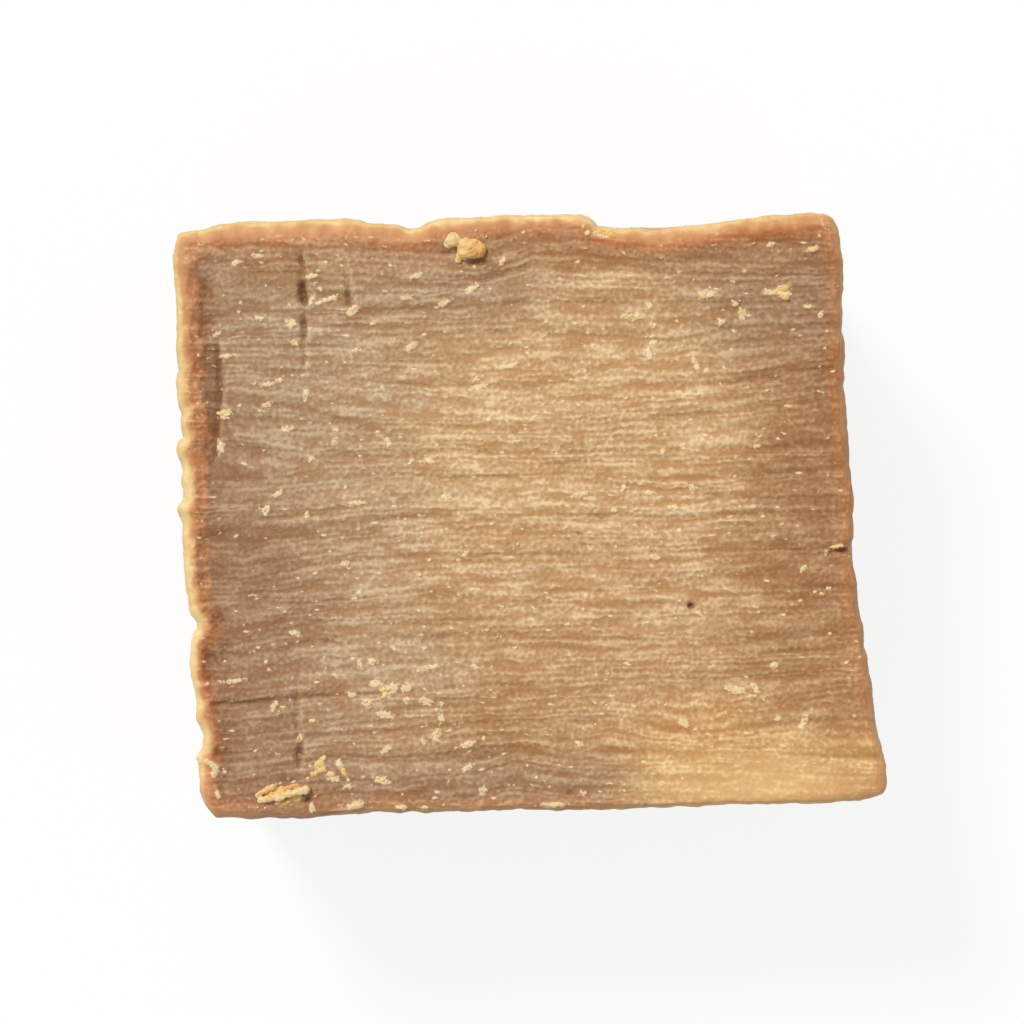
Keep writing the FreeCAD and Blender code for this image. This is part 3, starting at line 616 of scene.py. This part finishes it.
def grain_relief(x, y, flow, levels, settings):
    """Height and tone of the drag grain: swells, ridges, thin lines and the drag lines. The tone is painted
    shade in the lines and drag lines, paler on the ridges partly as painted highlight, and varies at random.
    """
    patchy = 0.35 + smooth_step(-0.5, 0.5, noise_at((x, y), (13, 7), 8.2))
    ridges = noise_at((x, flow), (11, 0.95), 0.4) + 0.6 * noise_at((x, flow), (4.5, 0.6), 5.2)
    lined = smooth_step(-0.3, 0.4, noise_at((x, y), (9, 5), 2.9))
    lines = bell(noise_at((x, flow), (21, 1.5), 9.4), 0.07) * lined
    drags = np.zeros(len(x))
    for number, level in enumerate(levels):
        depth = 0.5 + 0.9 * noise_at((x, x * 0), (7, 1), number * 3.7 + 0.5)
        drags = np.maximum(drags, np.clip(depth, 0, 1) * bell(flow - level, 0.32))
    swells = noise_at((x, y), (15, 7), 1.7) + 0.5 * noise_at((x, flow), (18, 2.6), 2.2)
    height = settings.swell_height * swells + settings.ridge_height * ridges * patchy
    height -= settings.drag_depth * (drags + 0.5 * lines)
    # Painted shade in the thin lines and drag lines; the paler ridges are partly painted highlight.
    tone = ridges * patchy - 1.6 * lines - 2.2 * drags + 0.5 * noise_at((x, flow), (30, 2.2), 4.4)
    tone += 0.6 * noise_at((x, flow), (3.8, 2.2), 6.4, 2)
    return height / MM, tone


def cut_relief(x, y):
    """Height of the scores, the crease, the pits and the hollows; how dark the painted shade in them is, and
    how pale the painted highlight on the lips beside the scores is.
    """
    height, dark, pale = np.zeros(len(x)), np.zeros(len(x)), np.zeros(len(x))
    flat = np.column_stack((x, y))
    wobble = noise_at((x, y), (0.9, 0.9), 3.3)
    rough = 1 + 0.35 * wobble
    for name, score in SCORES.items():
        score = np.array(score)
        gap, spot, along = nearest_on_path(score[:, :2], flat)
        half = np.interp(along, np.arange(len(score)), score[:, 2]) * rough
        depth = np.interp(along, np.arange(len(score)), score[:, 3]) * rough
        height -= depth * bell(gap, half * 1.1)
        # Painted shade in each score.
        dark = np.maximum(dark, bell(gap, half * 1.15) * smooth_step(0.05, 0.65, depth))
        side = x - spot[:, 0] if name != "low_left" else spot[:, 1] - y
        lip = bell(side - 2.1 * half, half + 0.15) * (side > 0) * smooth_step(1.0, 0.0, gap)
        height += LIP_HEIGHT * lip * smooth_step(0.1, 0.5, depth)
        # Painted highlight on the lip, on the side of the score that faces the lamp.
        pale = np.maximum(pale, 0.55 * lip * smooth_step(0.1, 0.6, depth))
    gap, spot, _ = nearest_on_path(CREASE, flat)
    side = (x - spot[:, 0]) + (spot[:, 1] - y)
    height += CREASE_STEP * smooth_step(-0.8, 0.8, side) * np.exp(-gap / 4)
    # Painted shade along the crease.
    dark = np.maximum(dark, 0.3 * bell(gap, 0.35) * smooth_step(-0.1, 0.4, noise_at((x, y), (2, 2), 6.1)))
    for px, py, half_x, half_y, depth, darkness in HOLLOWS.values():
        away = np.sqrt(((x - px) / half_x) ** 2 + ((y - py) / half_y) ** 2)
        away = away * (1 + 0.25 * wobble)
        height -= depth * smooth_step(1.35, 0.35, away)
        # Painted shade in the pits and hollows, and the painted shadows of the crumb pair and the flake.
        dark = np.maximum(dark, darkness * smooth_step(1.4, 0.5, away))
    return height, dark, pale


def fleck_field(x, y):
    """How near each point is to a fleck or smear: 1 in its middle, a half at its edge, 0 well outside."""
    field = np.zeros(len(x))
    for middle_x, middle_y, half_length, half_width, turn in FLECKS + SMEARS:
        near = np.flatnonzero(np.hypot(x - middle_x, y - middle_y) < 2.2 * half_length + 0.8)
        cos, sin = math.cos(math.radians(turn)), math.sin(math.radians(turn))
        right, up = x[near] - middle_x, y[near] - middle_y
        along = (right * cos + up * sin) / (half_length + 0.05)
        aside = (up * cos - right * sin) / (half_width + 0.05)
        field[near] = np.maximum(field[near], smooth_step(1.9, 0.1, np.hypot(along, aside)))
    return field


def zone_colours(x, y, settings):
    """The wax colour of each point, blended from the soft zones."""
    total = np.zeros((len(x), 3)) + np.array(settings.tan) * QUIET_ZONE
    weights = np.full(len(x), QUIET_ZONE)
    shift_x = 2.2 * noise_at((x, y), (9, 5), 12.2, 2)
    shift_y = 1.4 * noise_at((x, y), (11, 6), 15.9, 2)
    for middle_x, middle_y, reach_x, reach_y, name, strength in ZONES.values():
        away = ((x + shift_x - middle_x) / reach_x) ** 2 + ((y + shift_y - middle_y) / reach_y) ** 2
        weight = strength * np.exp(-away)
        total += weight[:, None] * np.array(getattr(settings, name))
        weights += weight
    return total / weights[:, None]


def add_field(mesh, name, values):
    """Keeps a value or a colour for each vertex as a named attribute that a material can read."""
    if values.ndim == 1:
        mesh.attributes.new(name, "FLOAT", "POINT").data.foreach_set("value", values.astype(np.float32))
        return
    colours = np.column_stack((values, np.ones(len(values)))).astype(np.float32)
    mesh.attributes.new(name, "FLOAT_COLOR", "POINT").data.foreach_set("color", colours.ravel())


class BlockPoints:
    """The block's points before they are sculpted (mm), and what both their shape and colours need."""

    def __init__(self, points):
        self.x, self.y, self.z = points.T.copy()
        loop, rounds = outline_loop()
        self.inset, self.spot, along = nearest_on_path(loop, points[:, :2], closed=True)
        going = np.interp(along, np.arange(len(rounds)), rounds)
        table = np.array(RIM)
        self.rim = {name: np.interp(going, table[:, 0], table[:, 1 + n]) for n, name in enumerate(RIM_NAMES)}
        self.uneven = 1 + 0.30 * noise_at(self.spot.T, (3.1, 3.1), 11.3, 2)
        self.width = self.rim["width"] * self.uneven
        self.top = depth_step(0.5, 0.1, self.z)
        self.face = smooth_step(0.55, 1.2, self.inset / self.width) * self.top
        torn = 0.30 * noise_at((self.x, self.y), (1.7, 1.7), 21.2, 3)
        self.ribbon = smooth_step(1.08, 0.95, self.inset / (1.2 * self.rim["warm_width"]) + torn)
        middle_x, middle_y, reach_x, reach_y = SMOOTH_CORNER
        self.calm = 1 - 0.8 * bell(self.x - middle_x, reach_x) * bell(self.y - middle_y, reach_y)


def rim_lift(at):
    """How far the rounding of the rims, their ribbon and their lips move each point up or down."""
    share = np.clip(at.inset / at.width, 0, 1)
    drop = at.rim["drop"] * (0.85 + 0.3 * (at.uneven - 0.7))
    lift = -drop * (1 - np.sqrt(1 - (1 - share) ** 2)) * depth_step(6, 0, at.z)
    lift += RIBBON_HEIGHT * at.rim["ribbon"] * at.ribbon * at.top
    past = at.inset - at.width
    lip = np.where(past < 0, bell(past, 0.7), bell(past, at.rim["lip_reach"]))
    lip *= 0.6 + 0.8 * smooth_step(-0.5, 0.5, noise_at((at.x, at.y), (1.8, 2.4), 5.5, 2))
    return lift + at.rim["lip"] * lip * at.top


def side_push(at, settings):
    """How far the lumps of the ragged rims and the marks of the plain walls push each point out."""
    place = (at.x, at.y, at.z)
    lumps = noise_at(place, (2.1, 2.1, 2.6), 6.6, 3)
    marks = noise_at(place, (2.4, 2.4, 25), 4.4) + 0.7 * noise_at(place, (9, 9, 6), 7.7)
    ragged = (1 - at.face) * depth_step(9, 5, at.z)
    plain = (1 - at.face) * (1 - ragged) * smooth_step(0.0, 1.5, at.z)
    return settings.lump_height / MM * lumps * ragged + WALL_MARKS * marks * plain


def rim_colours(at, warm_at, settings):
    """The worn rims, from peach at their outer edge to salmon and red inside. The peach edge goes with the
    strength of the cream line, so it is partly a painted highlight too.
    """
    pale_band = smooth_step(0.85, 0.15, warm_at) * np.clip(1.2 * at.rim["cream"], 0, 1)
    band = mixed(np.tile(np.array(settings.salmon), (len(at.x), 1)), settings.peach, pale_band)
    band = mixed(band, settings.red, 0.9 * at.rim["red"] * smooth_step(0.2, 1.0, warm_at))
    streaks = noise_at((at.spot[:, 0], at.spot[:, 1], at.inset), (0.9, 0.9, 4.0), 17.3, 2)
    return band * np.exp(0.12 * streaks[:, None] * np.array(TONE_TINT))


def wax_colours(at, tone, dark, pale, settings):
    """Each point's colour: the soft zones, the rims, the painted shade and highlights of the marks, and the
    swing of the grain.
    """
    rim = at.rim
    base = mixed(zone_colours(at.x, at.y, settings), settings.tan, 0.9 * depth_step(2, 12, at.z))
    # Painted highlight on the lips beside the scores, in the fleck colour.
    base = mixed(base, settings.fleck, pale * at.face)
    wander = 0.22 * noise_at((at.x, at.y, at.z), (1.6, 1.6, 1.6), 14.4, 2)
    warm_at = at.inset / rim["warm_width"] + wander
    # Brown inside the rims, in umber: partly browner wax, partly the painted shadow of the raised rims.
    brown = rim["brown"] * smooth_step(0.8, 1.2, warm_at) * smooth_step(5.2, 3.3, at.inset + 3 * wander)
    base = mixed(base, settings.umber, 0.65 * brown * at.top)
    fade = smooth_step(1.35, 0.7, warm_at) * (1 - rim["ribbon"]) + at.ribbon * rim["ribbon"]
    warm = rim["warm"] * fade * depth_step(10, 4, at.z)
    base = mixed(base, rim_colours(at, warm_at, settings), warm)
    # The cream line: a painted highlight along the rims' outer edge, strongest on the back and left rims that
    # face the lamp.
    fading = np.clip(0.85 + 0.55 * noise_at(at.spot.T, (2.2, 2.2), 23.1, 2), 0, 1)
    cream = rim["cream"] * fading * smooth_step(1.15, 0.45, at.inset / rim["cream_width"] + 2.0 * wander)
    base = mixed(base, settings.cream, cream * depth_step(4.5, 1.2, at.z))
    # Painted shade of the scores, the crease, the pits and the hollows: umber, and deep where darkest.
    base = mixed(base, settings.umber, 0.65 * smooth_step(0.15, 0.7, dark) * at.top)
    base = mixed(base, settings.deep, 0.6 * smooth_step(0.5, 1.0, dark) * at.top)
    # The grain's tone: painted shade in its lines, partly painted highlight on its ridges.
    swing = settings.contrast * tone * (0.25 + 0.75 * at.face) * at.calm
    return np.clip(base * np.exp(swing[:, None] * np.array(TONE_TINT)), 0.01, 1.0)


def shape_block(obj, settings):
    """Sculpts the remeshed block and keeps its colours and the fields that its material reads."""
    mesh = obj.data
    points, normals = read_mesh(mesh)
    at = BlockPoints(points)
    flow, levels = flow_of(at.x, at.y)
    flow = flow + 0.35 * noise_at((at.x, at.y), (16, 9), 3.1) + 0.12 * noise_at((at.x, at.y), (4, 3), 7.1)
    grain, tone = grain_relief(at.x, at.y, flow, levels, settings)
    cuts, dark, pale = cut_relief(at.x, at.y)
    smear = fleck_field(at.x, at.y) * at.top
    lift = rim_lift(at) + SMEAR_HEIGHT * smooth_step(0.3, 0.8, smear)
    lift += at.face * grain * at.calm + cuts * at.top * smooth_step(0.1, 0.6, at.inset)
    points[:, 2] += lift
    move_points(mesh, points + normals * side_push(at, settings)[:, None])
    mesh.update()

    upright = 1 - at.top
    add_field(mesh, "wax", wax_colours(at, tone, dark, pale, settings))
    add_field(mesh, "smear", smear)
    add_field(mesh, "grain_share", 0.2 + 0.8 * at.face * at.calm)
    add_field(mesh, "along", at.x * at.top + at.z * upright)
    add_field(mesh, "flow", flow * at.top + (at.x - at.y) * upright)


class NodeMaker:
    """Adds shader nodes in short lines. An input is a number, a colour or another node's socket."""

    def __init__(self, name):
        self.material = bpy.data.materials.new(name)
        self.material.use_nodes = True
        self.tree = self.material.node_tree
        self.tree.nodes.clear()

    def set_input(self, socket, value):
        if isinstance(value, bpy.types.NodeSocket):
            self.tree.links.new(value, socket)
        else:
            socket.default_value = value

    def add(self, kind, inputs=(), output=0, **values):
        node = self.tree.nodes.new(kind)
        for key, value in values.items():
            setattr(node, key, value)
        for key, value in dict(inputs).items():
            self.set_input(node.inputs[key], value)
        return node.outputs[output]

    def field(self, name, output="Fac"):
        return self.add("ShaderNodeAttribute", output=output, attribute_name=name)

    def math(self, operation, first, second=0.0, clamp=False):
        return self.add("ShaderNodeMath", {0: first, 1: second}, operation=operation, use_clamp=clamp)

    def plus(self, first, second, clamp=False):
        return self.math("ADD", first, second, clamp)

    def times(self, first, second, clamp=False):
        return self.math("MULTIPLY", first, second, clamp)

    def tinted(self, vector, factors):
        """A colour or a place, with each of its three parts times its own factor."""
        return self.add("ShaderNodeVectorMath", {0: vector, 1: factors}, operation="MULTIPLY")

    def joined(self, x, y, z=0.0):
        return self.add("ShaderNodeCombineXYZ", {0: x, 1: y, 2: z})

    def ramp(self, value, low, high, start=0.0, end=1.0):
        inputs = {"Value": value, "From Min": low, "From Max": high, "To Min": start, "To Max": end}
        return self.add("ShaderNodeMapRange", inputs, clamp=True, interpolation_type="SMOOTHSTEP")

    def mix(self, share, first, second):
        node = self.tree.nodes.new("ShaderNodeMix")
        node.data_type = "RGBA"
        wanted = {"Factor_Float": share, "A_Color": first, "B_Color": second}
        for socket in node.inputs:
            if socket.identifier in wanted:
                self.set_input(socket, wanted[socket.identifier])
        return next(socket for socket in node.outputs if socket.identifier == "Result_Color")

    def noise(self, vector, scale, detail=2.0, rough=0.5):
        inputs = {"Vector": vector, "Scale": scale, "Detail": detail, "Roughness": rough}
        return self.add("ShaderNodeTexNoise", inputs, output="Fac")

    def surface(self, base, height, roughness, shine):
        """The finished material: wax of a colour, with a height in metres as its bump."""
        bump = self.add("ShaderNodeBump", {"Height": height, "Strength": 1.0, "Distance": 1.0})
        return self.finished(self.add("ShaderNodeBsdfPrincipled", {
            "Base Color": base, "Normal": bump, "Roughness": roughness, "Specular IOR Level": shine,
        }))

    def finished(self, shader):
        output = self.tree.nodes.new("ShaderNodeOutputMaterial")
        self.tree.links.new(shader, output.inputs["Surface"])
        return self.material


def colour(values):
    """A colour of the settings with its alpha."""
    return (values[0], values[1], values[2], 1.0)


def soap_material(settings):
    """Waxy soap: the block's own colours with a fine grain and pale specks that follow the drag lines. The
    grain's high parts are painted paler, partly as dust and partly as painted highlight, and its low parts
    darker, as painted shade.
    """
    make = NodeMaker("waxy_soap")
    where = make.tinted(make.add("ShaderNodeTexCoord", output="Object"), (1 / MM, 1 / MM, 1 / MM))
    strength = make.field("grain_share")
    along = make.field("along")
    across = make.plus(make.field("flow"), make.times(make.noise(where, 0.45, 1.0), 0.7))
    lumps_at = make.joined(make.times(along, 0.4), across)
    lines_at = make.joined(make.times(along, 0.12), across, 5.0)
    lumps = make.noise(lumps_at, 0.75, 1.0, 0.5)
    lines = make.noise(lines_at, 1.05, 1.0, 0.45)
    granule = make.noise(where, 2.2, 0.5, 0.5)
    bend = make.times(make.noise(lines_at, 0.6, 0.0), 9.0)
    rows = make.math("SINE", make.plus(make.times(across, 8.0), bend))
    rows = make.times(rows, make.ramp(lumps, 0.3, 0.6, 0.2, 1.0))
    relief = 0.0
    for noise_value, share in zip((lumps, lines, granule, rows), GRAIN_SHARES):
        relief = make.plus(relief, make.times(noise_value, share))
    # Beads, light and shade paint the grain: its high parts and bright beads paler, partly dry dust and
    # partly painted highlight, and its low parts darker, as painted shade.
    beads = make.times(make.ramp(granule, 0.5, 0.72), make.ramp(relief, 0.48, 0.62))

    light = make.plus(make.ramp(relief, 0.49, 0.65, 0.0, 0.85), make.times(beads, 0.5))
    light = make.times(light, strength, clamp=True)
    shade = make.times(make.ramp(relief, 0.53, 0.38, 0.0, 0.95), strength)
    near = make.add("ShaderNodeTexVoronoi", {"Vector": lumps_at, "Scale": 1.2}, output="Distance")
    specks = make.times(make.ramp(near, 0.24, 0.12), make.ramp(granule, 0.48, 0.6))
    specks = make.times(specks, make.times(strength, 0.75))
    ragged = make.times(make.math("SUBTRACT", make.noise(where, 2.6, 1.0, 0.5), 0.5), 1.3)
    smear = make.ramp(make.plus(make.field("smear"), ragged), 0.42, 0.80)

    wax = make.field("wax", "Color")
    base = make.mix(shade, wax, make.tinted(wax, BARE_AND_SHADED))
    base = make.mix(light, base, make.tinted(wax, DUST_AND_HIGHLIGHT))
    base = make.mix(specks, base, colour(settings.fleck))
    base = make.mix(make.times(smear, 0.75), base, colour(settings.fleck))
    raised = make.math("MAXIMUM", specks, make.times(smear, 0.6))
    height = make.times(make.times(relief, GRAIN_HEIGHT), strength)
    height = make.times(make.plus(height, make.times(raised, SPECK_HEIGHT)), MM)
    return make.surface(base, height, make.ramp(granule, 0.3, 0.7, 0.5, 0.64), 0.35)


class SOAP_OT_block(bpy.types.Operator):
    """Builds the block of soap over the CAD solid, with the relief of its cut face"""
    bl_idname = "soap.block"
    bl_label = "Build the block"

    def execute(self, context):
        settings = context.scene.soap_block
        core = raised_block("core")
        block = core.copy()
        block.data = core.data.copy()
        block.name = "cut_block"
        context.scene.collection.objects.link(block)
        apply_modifier(block, "REMESH", mode="VOXEL", voxel_size=settings.grid, adaptivity=0)
        divide_face(block)
        apply_modifier(block, "SHRINKWRAP", target=core, wrap_method="NEAREST_SURFACEPOINT")
        apply_modifier(block, "SMOOTH", factor=0.5, iterations=1)
        shape_block(block, settings)
        apply_modifier(block, "TRIANGULATE")
        bpy.data.objects.remove(core)
        select_only(block)
        bpy.ops.object.shade_smooth()
        block.data.materials.append(soap_material(settings))
        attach(block, "root")
        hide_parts(NODE)
        return {"FINISHED"}


class SoapCrumbSettings(bpy.types.PropertyGroup):
    """Number, relief and colours of the crumbs on the cut face."""
    specks: bpy.props.IntProperty(
        name="Specks", description="Small specks scattered over the face", default=90)
    grid: bpy.props.FloatProperty(
        name="Grid", description="Cell of the larger crumbs' mesh", default=0.11 * MM, unit="LENGTH")
    roughness: bpy.props.FloatProperty(
        name="Roughness", description="Height of the lumps on the larger crumbs",
        default=0.15 * MM, unit="LENGTH")
    pale: bpy.props.FloatVectorProperty(
        name="Pale", description="The driest crumbs", subtype="COLOR", default=(0.855, 0.651, 0.342))
    yellow: bpy.props.FloatVectorProperty(
        name="Yellow", description="The freshest crumbs", subtype="COLOR", default=(0.807, 0.413, 0.107))


def crumb_material(settings):
    """Crumbs of soap, from pale and dry to yellow and waxy."""
    make = NodeMaker("soap_crumbs")
    where = make.add("ShaderNodeTexCoord", output="Object")
    rough = make.noise(where, 1.1 / MM, 3.0, 0.6)
    tone = make.plus(make.field("tone"), make.ramp(rough, 0.3, 0.7, -0.22, 0.22), clamp=True)
    base = make.mix(tone, colour(settings.pale), colour(settings.yellow))
    return make.surface(base, make.times(rough, 0.12 * MM), 0.5, 0.4)


def ball_template(subdivisions):
    """The points and faces of a ball of radius 1 made of triangles."""
    bpy.ops.mesh.primitive_ico_sphere_add(subdivisions=subdivisions, radius=1.0)
    ball = bpy.context.active_object
    points = np.array([vertex.co[:] for vertex in ball.data.vertices])
    faces = np.array([polygon.vertices[:] for polygon in ball.data.polygons])
    bpy.data.objects.remove(ball)
    return points, faces


class Heap:
    """Gathers balls of soap that lie on the block into one mesh."""

    def __init__(self, subdivisions, tree):
        self.ball, self.ball_faces = ball_template(subdivisions)
        self.tree = tree
        self.points, self.faces, self.tones = [], [], []

    def ground(self, x, y):
        hit = self.tree.ray_cast(Vector((x, y, FACE_LEVEL + 20)) * MM, Vector((0, 0, -1)))[0]
        return hit.z / MM if hit else FACE_LEVEL - 1.0

    def lay(self, x, y, over, sizes, turn, tone, crush=0.0, seed=0.0):
        """Lays one ball with its middle over the surface, pressed to its half sizes."""
        ball = self.ball
        if crush:
            shift = Vector((seed, seed * 1.7, 0))
            bulge = [1 + crush * noise.noise(Vector(point) * 1.3 + shift) for point in ball]
            ball = ball * np.array(bulge)[:, None]
        cos, sin = math.cos(math.radians(turn)), math.sin(math.radians(turn))
        pressed = ball * np.array(sizes)
        turned = np.column_stack((pressed[:, 0] * cos - pressed[:, 1] * sin,
                                  pressed[:, 0] * sin + pressed[:, 1] * cos, pressed[:, 2]))
        self.faces.append(self.ball_faces + len(self.ball) * len(self.points))
        self.points.append(turned + np.array((x, y, self.ground(x, y) + over)))
        self.tones.append(np.full(len(ball), tone))

    def as_object(self, name):
        mesh = bpy.data.meshes.new(name)
        mesh.from_pydata((np.vstack(self.points) * MM).tolist(), [], np.vstack(self.faces).tolist())
        obj = bpy.data.objects.new(name, mesh)
        bpy.context.scene.collection.objects.link(obj)
        return obj


def large_crumbs(settings, tree):
    """The larger crumbs: balls fused by a remesh, then roughened."""
    heap = Heap(3, tree)
    for x, y, over, half_x, half_y, half_z, turn, tone in CRUMB_BALLS:
        heap.lay(x, y, over, (half_x, half_y, PRESSED * half_z), turn, tone)
    crumbs = heap.as_object("stuck_crumbs")
    apply_modifier(crumbs, "REMESH", mode="VOXEL", voxel_size=settings.grid, adaptivity=0)
    apply_modifier(crumbs, "SMOOTH", factor=0.5, iterations=4)
    mesh = crumbs.data
    points, normals = read_mesh(mesh)
    rough = noise_at(points.T, (0.8, 0.8, 0.8), 2.2, 2) + 0.6 * noise_at(points.T, (0.3, 0.3, 0.3), 7.2)
    move_points(mesh, points + normals * (settings.roughness / MM * rough)[:, None])
    tones, weights = np.zeros(len(points)), np.full(len(points), 1e-6)
    for x, y, _, half_x, half_y, _, _, tone in CRUMB_BALLS:
        away = ((points[:, 0] - x) / half_x) ** 2 + ((points[:, 1] - y) / half_y) ** 2
        weight = np.exp(-1.2 * away)
        tones += weight * tone
        weights += weight
    add_field(mesh, "tone", tones / weights)
    return crumbs


def small_flecks(settings, tree):
    """Flecks of a few grains each, and single specks scattered thicker over the front half."""
    draw = random.Random(SPECK_SEED)
    heap = Heap(2, tree)
    for x, y, half_length, half_width, turn in FLECKS:
        grains = 1 + round(2 * half_length)
        tone = draw.uniform(0.0, 0.35)
        for _ in range(grains):
            along = draw.uniform(-0.8, 0.8) * half_length
            aside = draw.uniform(-0.6, 0.6) * half_width
            cos, sin = math.cos(math.radians(turn)), math.sin(math.radians(turn))
            size = draw.uniform(0.3, 0.55) * half_width
            heap.lay(x + along * cos - aside * sin, y + along * sin + aside * cos, -0.15 * size,
                     (size * draw.uniform(1.0, 1.8), size, size * 0.45), turn + draw.uniform(-40, 40),
                     tone + draw.uniform(-0.1, 0.1), 0.7, draw.uniform(0, 50))
    laid = 0
    while laid < settings.specks:
        x, y = draw.uniform(-36, 36), draw.uniform(-31.5, 29.5)
        thick = 0.3 + 0.4 * (y < -5) + 0.5 * (-25 < x < -5 and -28 < y < -14) + 0.4 * (x > 10 and y > 18)
        if draw.random() > thick:
            continue
        size = 0.10 + 0.16 * draw.random() ** 2
        heap.lay(x, y, -0.1 * size, (size * draw.uniform(1.0, 2.0), size, size * 0.5), draw.uniform(-35, 35),
                 draw.uniform(0.0, 0.5), 0.7, draw.uniform(0, 50))
        laid += 1
    flecks = heap.as_object("small_flecks")
    add_field(flecks.data, "tone", np.concatenate(heap.tones))
    return flecks


class SOAP_OT_crumbs(bpy.types.Operator):
    """Lays the crumbs and flecks of soap on the cut face"""
    bl_idname = "soap.crumbs"
    bl_label = "Lay the crumbs"

    def execute(self, context):
        settings = context.scene.soap_crumbs
        tree = BVHTree.FromObject(bpy.data.objects["cut_block"], context.evaluated_depsgraph_get())
        material = crumb_material(settings)
        for piece in (large_crumbs(settings, tree), small_flecks(settings, tree)):
            piece.data.materials.append(material)
            select_only(piece)
            bpy.ops.object.shade_smooth()
            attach(piece, "root")
        return {"FINISHED"}


class SoapStageSettings(bpy.types.PropertyGroup):
    """The lamp, the light from all round and the camera."""
    key: bpy.props.FloatProperty(
        name="Key", description="Strength of the soft lamp at the back left", default=2.1)
    fill: bpy.props.FloatProperty(
        name="Fill", description="Strength of the light from all round", default=0.5)
    lens: bpy.props.FloatProperty(name="Lens", description="Focal length in millimetres", default=120.0)
    view_width: bpy.props.FloatProperty(
        name="View width", description="Width of the picture at the height of the cut face",
        default=115.7 * MM, unit="LENGTH")


def white_ground():
    """A white ground that still takes a soft shadow."""
    make = NodeMaker("white_ground")
    plain = make.add("ShaderNodeBsdfDiffuse", {"Color": (0.96, 0.96, 0.96, 1.0)})
    bright = make.add("ShaderNodeEmission", {"Color": WHITE, "Strength": 1.0})
    seen = make.add("ShaderNodeLightPath", output="Is Camera Ray")
    inputs = {0: make.times(seen, GROUND_GLOW), 1: plain, 2: bright}
    return make.finished(make.add("ShaderNodeMixShader", inputs))


def soft_lamp(settings):
    """A broad lamp at the back left, aimed at the soap."""
    lamp = bpy.data.lights.new("key", "SUN")
    lamp.energy = settings.key
    lamp.angle = math.radians(LAMP_SPREAD)
    lamp.color = LAMP_COLOUR
    holder = bpy.data.objects.new("key", lamp)
    bpy.context.scene.collection.objects.link(holder)
    holder.rotation_euler = Vector(LAMP_SIDE).to_track_quat("Z", "Y").to_euler()


def light_all_round(settings):
    """Even light from everywhere, which the camera sees as plain white."""
    world = bpy.data.worlds.new("studio")
    bpy.context.scene.world = world
    world.use_nodes = True
    back = world.node_tree.nodes["Background"]
    path = world.node_tree.nodes.new("ShaderNodeLightPath")
    level = world.node_tree.nodes.new("ShaderNodeMapRange")
    level.inputs["To Min"].default_value = settings.fill
    level.inputs["To Max"].default_value = 1.0
    world.node_tree.links.new(path.outputs["Is Camera Ray"], level.inputs["Value"])
    world.node_tree.links.new(level.outputs["Result"], back.inputs["Strength"])
    back.inputs["Color"].default_value = WHITE


def overhead_camera(settings):
    """The camera, straight over the cut face and looking down."""
    lens = bpy.data.cameras.new("overhead")
    lens.lens = settings.lens
    lens.sensor_width = SENSOR_WIDTH
    lens.clip_start = 0.01
    camera = bpy.data.objects.new("overhead", lens)
    bpy.context.scene.collection.objects.link(camera)
    height = settings.view_width * settings.lens / SENSOR_WIDTH
    camera.location = (PICTURE_MIDDLE[0] * MM, PICTURE_MIDDLE[1] * MM, FACE_LEVEL * MM + height)
    bpy.context.scene.camera = camera


class SOAP_OT_stage(bpy.types.Operator):
    """Sets the ground, the soft studio light and the camera straight over the cut face"""
    bl_idname = "soap.stage"
    bl_label = "Set the stage"

    def execute(self, context):
        settings = context.scene.soap_stage
        bpy.ops.mesh.primitive_plane_add(size=GROUND_SIZE, location=(0, 0, 0))
        ground = context.active_object
        ground.name = "ground"
        ground.data.materials.append(white_ground())
        soft_lamp(settings)
        light_all_round(settings)
        overhead_camera(settings)
        context.scene.view_settings.view_transform = "Standard"
        return {"FINISHED"}


class SOAP_PT_panel(bpy.types.Panel):
    """Lists the steps and their settings"""
    bl_idname = "SOAP_PT_panel"
    bl_label = "Soap"
    bl_space_type = "VIEW_3D"
    bl_region_type = "UI"
    bl_category = "Soap"

    def draw(self, context):
        for operator, group in STEPS:
            box = self.layout.box()
            settings = getattr(context.scene, group)
            for name in settings.bl_rna.properties.keys():
                if name not in ("rna_type", "name"):
                    box.prop(settings, name)
            box.operator(operator)


STEPS = (("soap.block", "soap_block"), ("soap.crumbs", "soap_crumbs"), ("soap.stage", "soap_stage"))
GROUPS = {"soap_block": SoapBlockSettings, "soap_crumbs": SoapCrumbSettings, "soap_stage": SoapStageSettings}
CLASSES = (SoapBlockSettings, SoapCrumbSettings, SoapStageSettings,
           SOAP_OT_block, SOAP_OT_crumbs, SOAP_OT_stage, SOAP_PT_panel)


def register():
    for item in CLASSES:
        bpy.utils.register_class(item)
    for name, group in GROUPS.items():
        setattr(bpy.types.Scene, name, bpy.props.PointerProperty(type=group))


def unregister():
    for name in GROUPS:
        delattr(bpy.types.Scene, name)
    for item in reversed(CLASSES):
        bpy.utils.unregister_class(item)


def main():
    register()
    bpy.ops.soap.block()
    bpy.ops.soap.crumbs()
    bpy.ops.soap.stage()


if __name__ == "__main__":
    main()
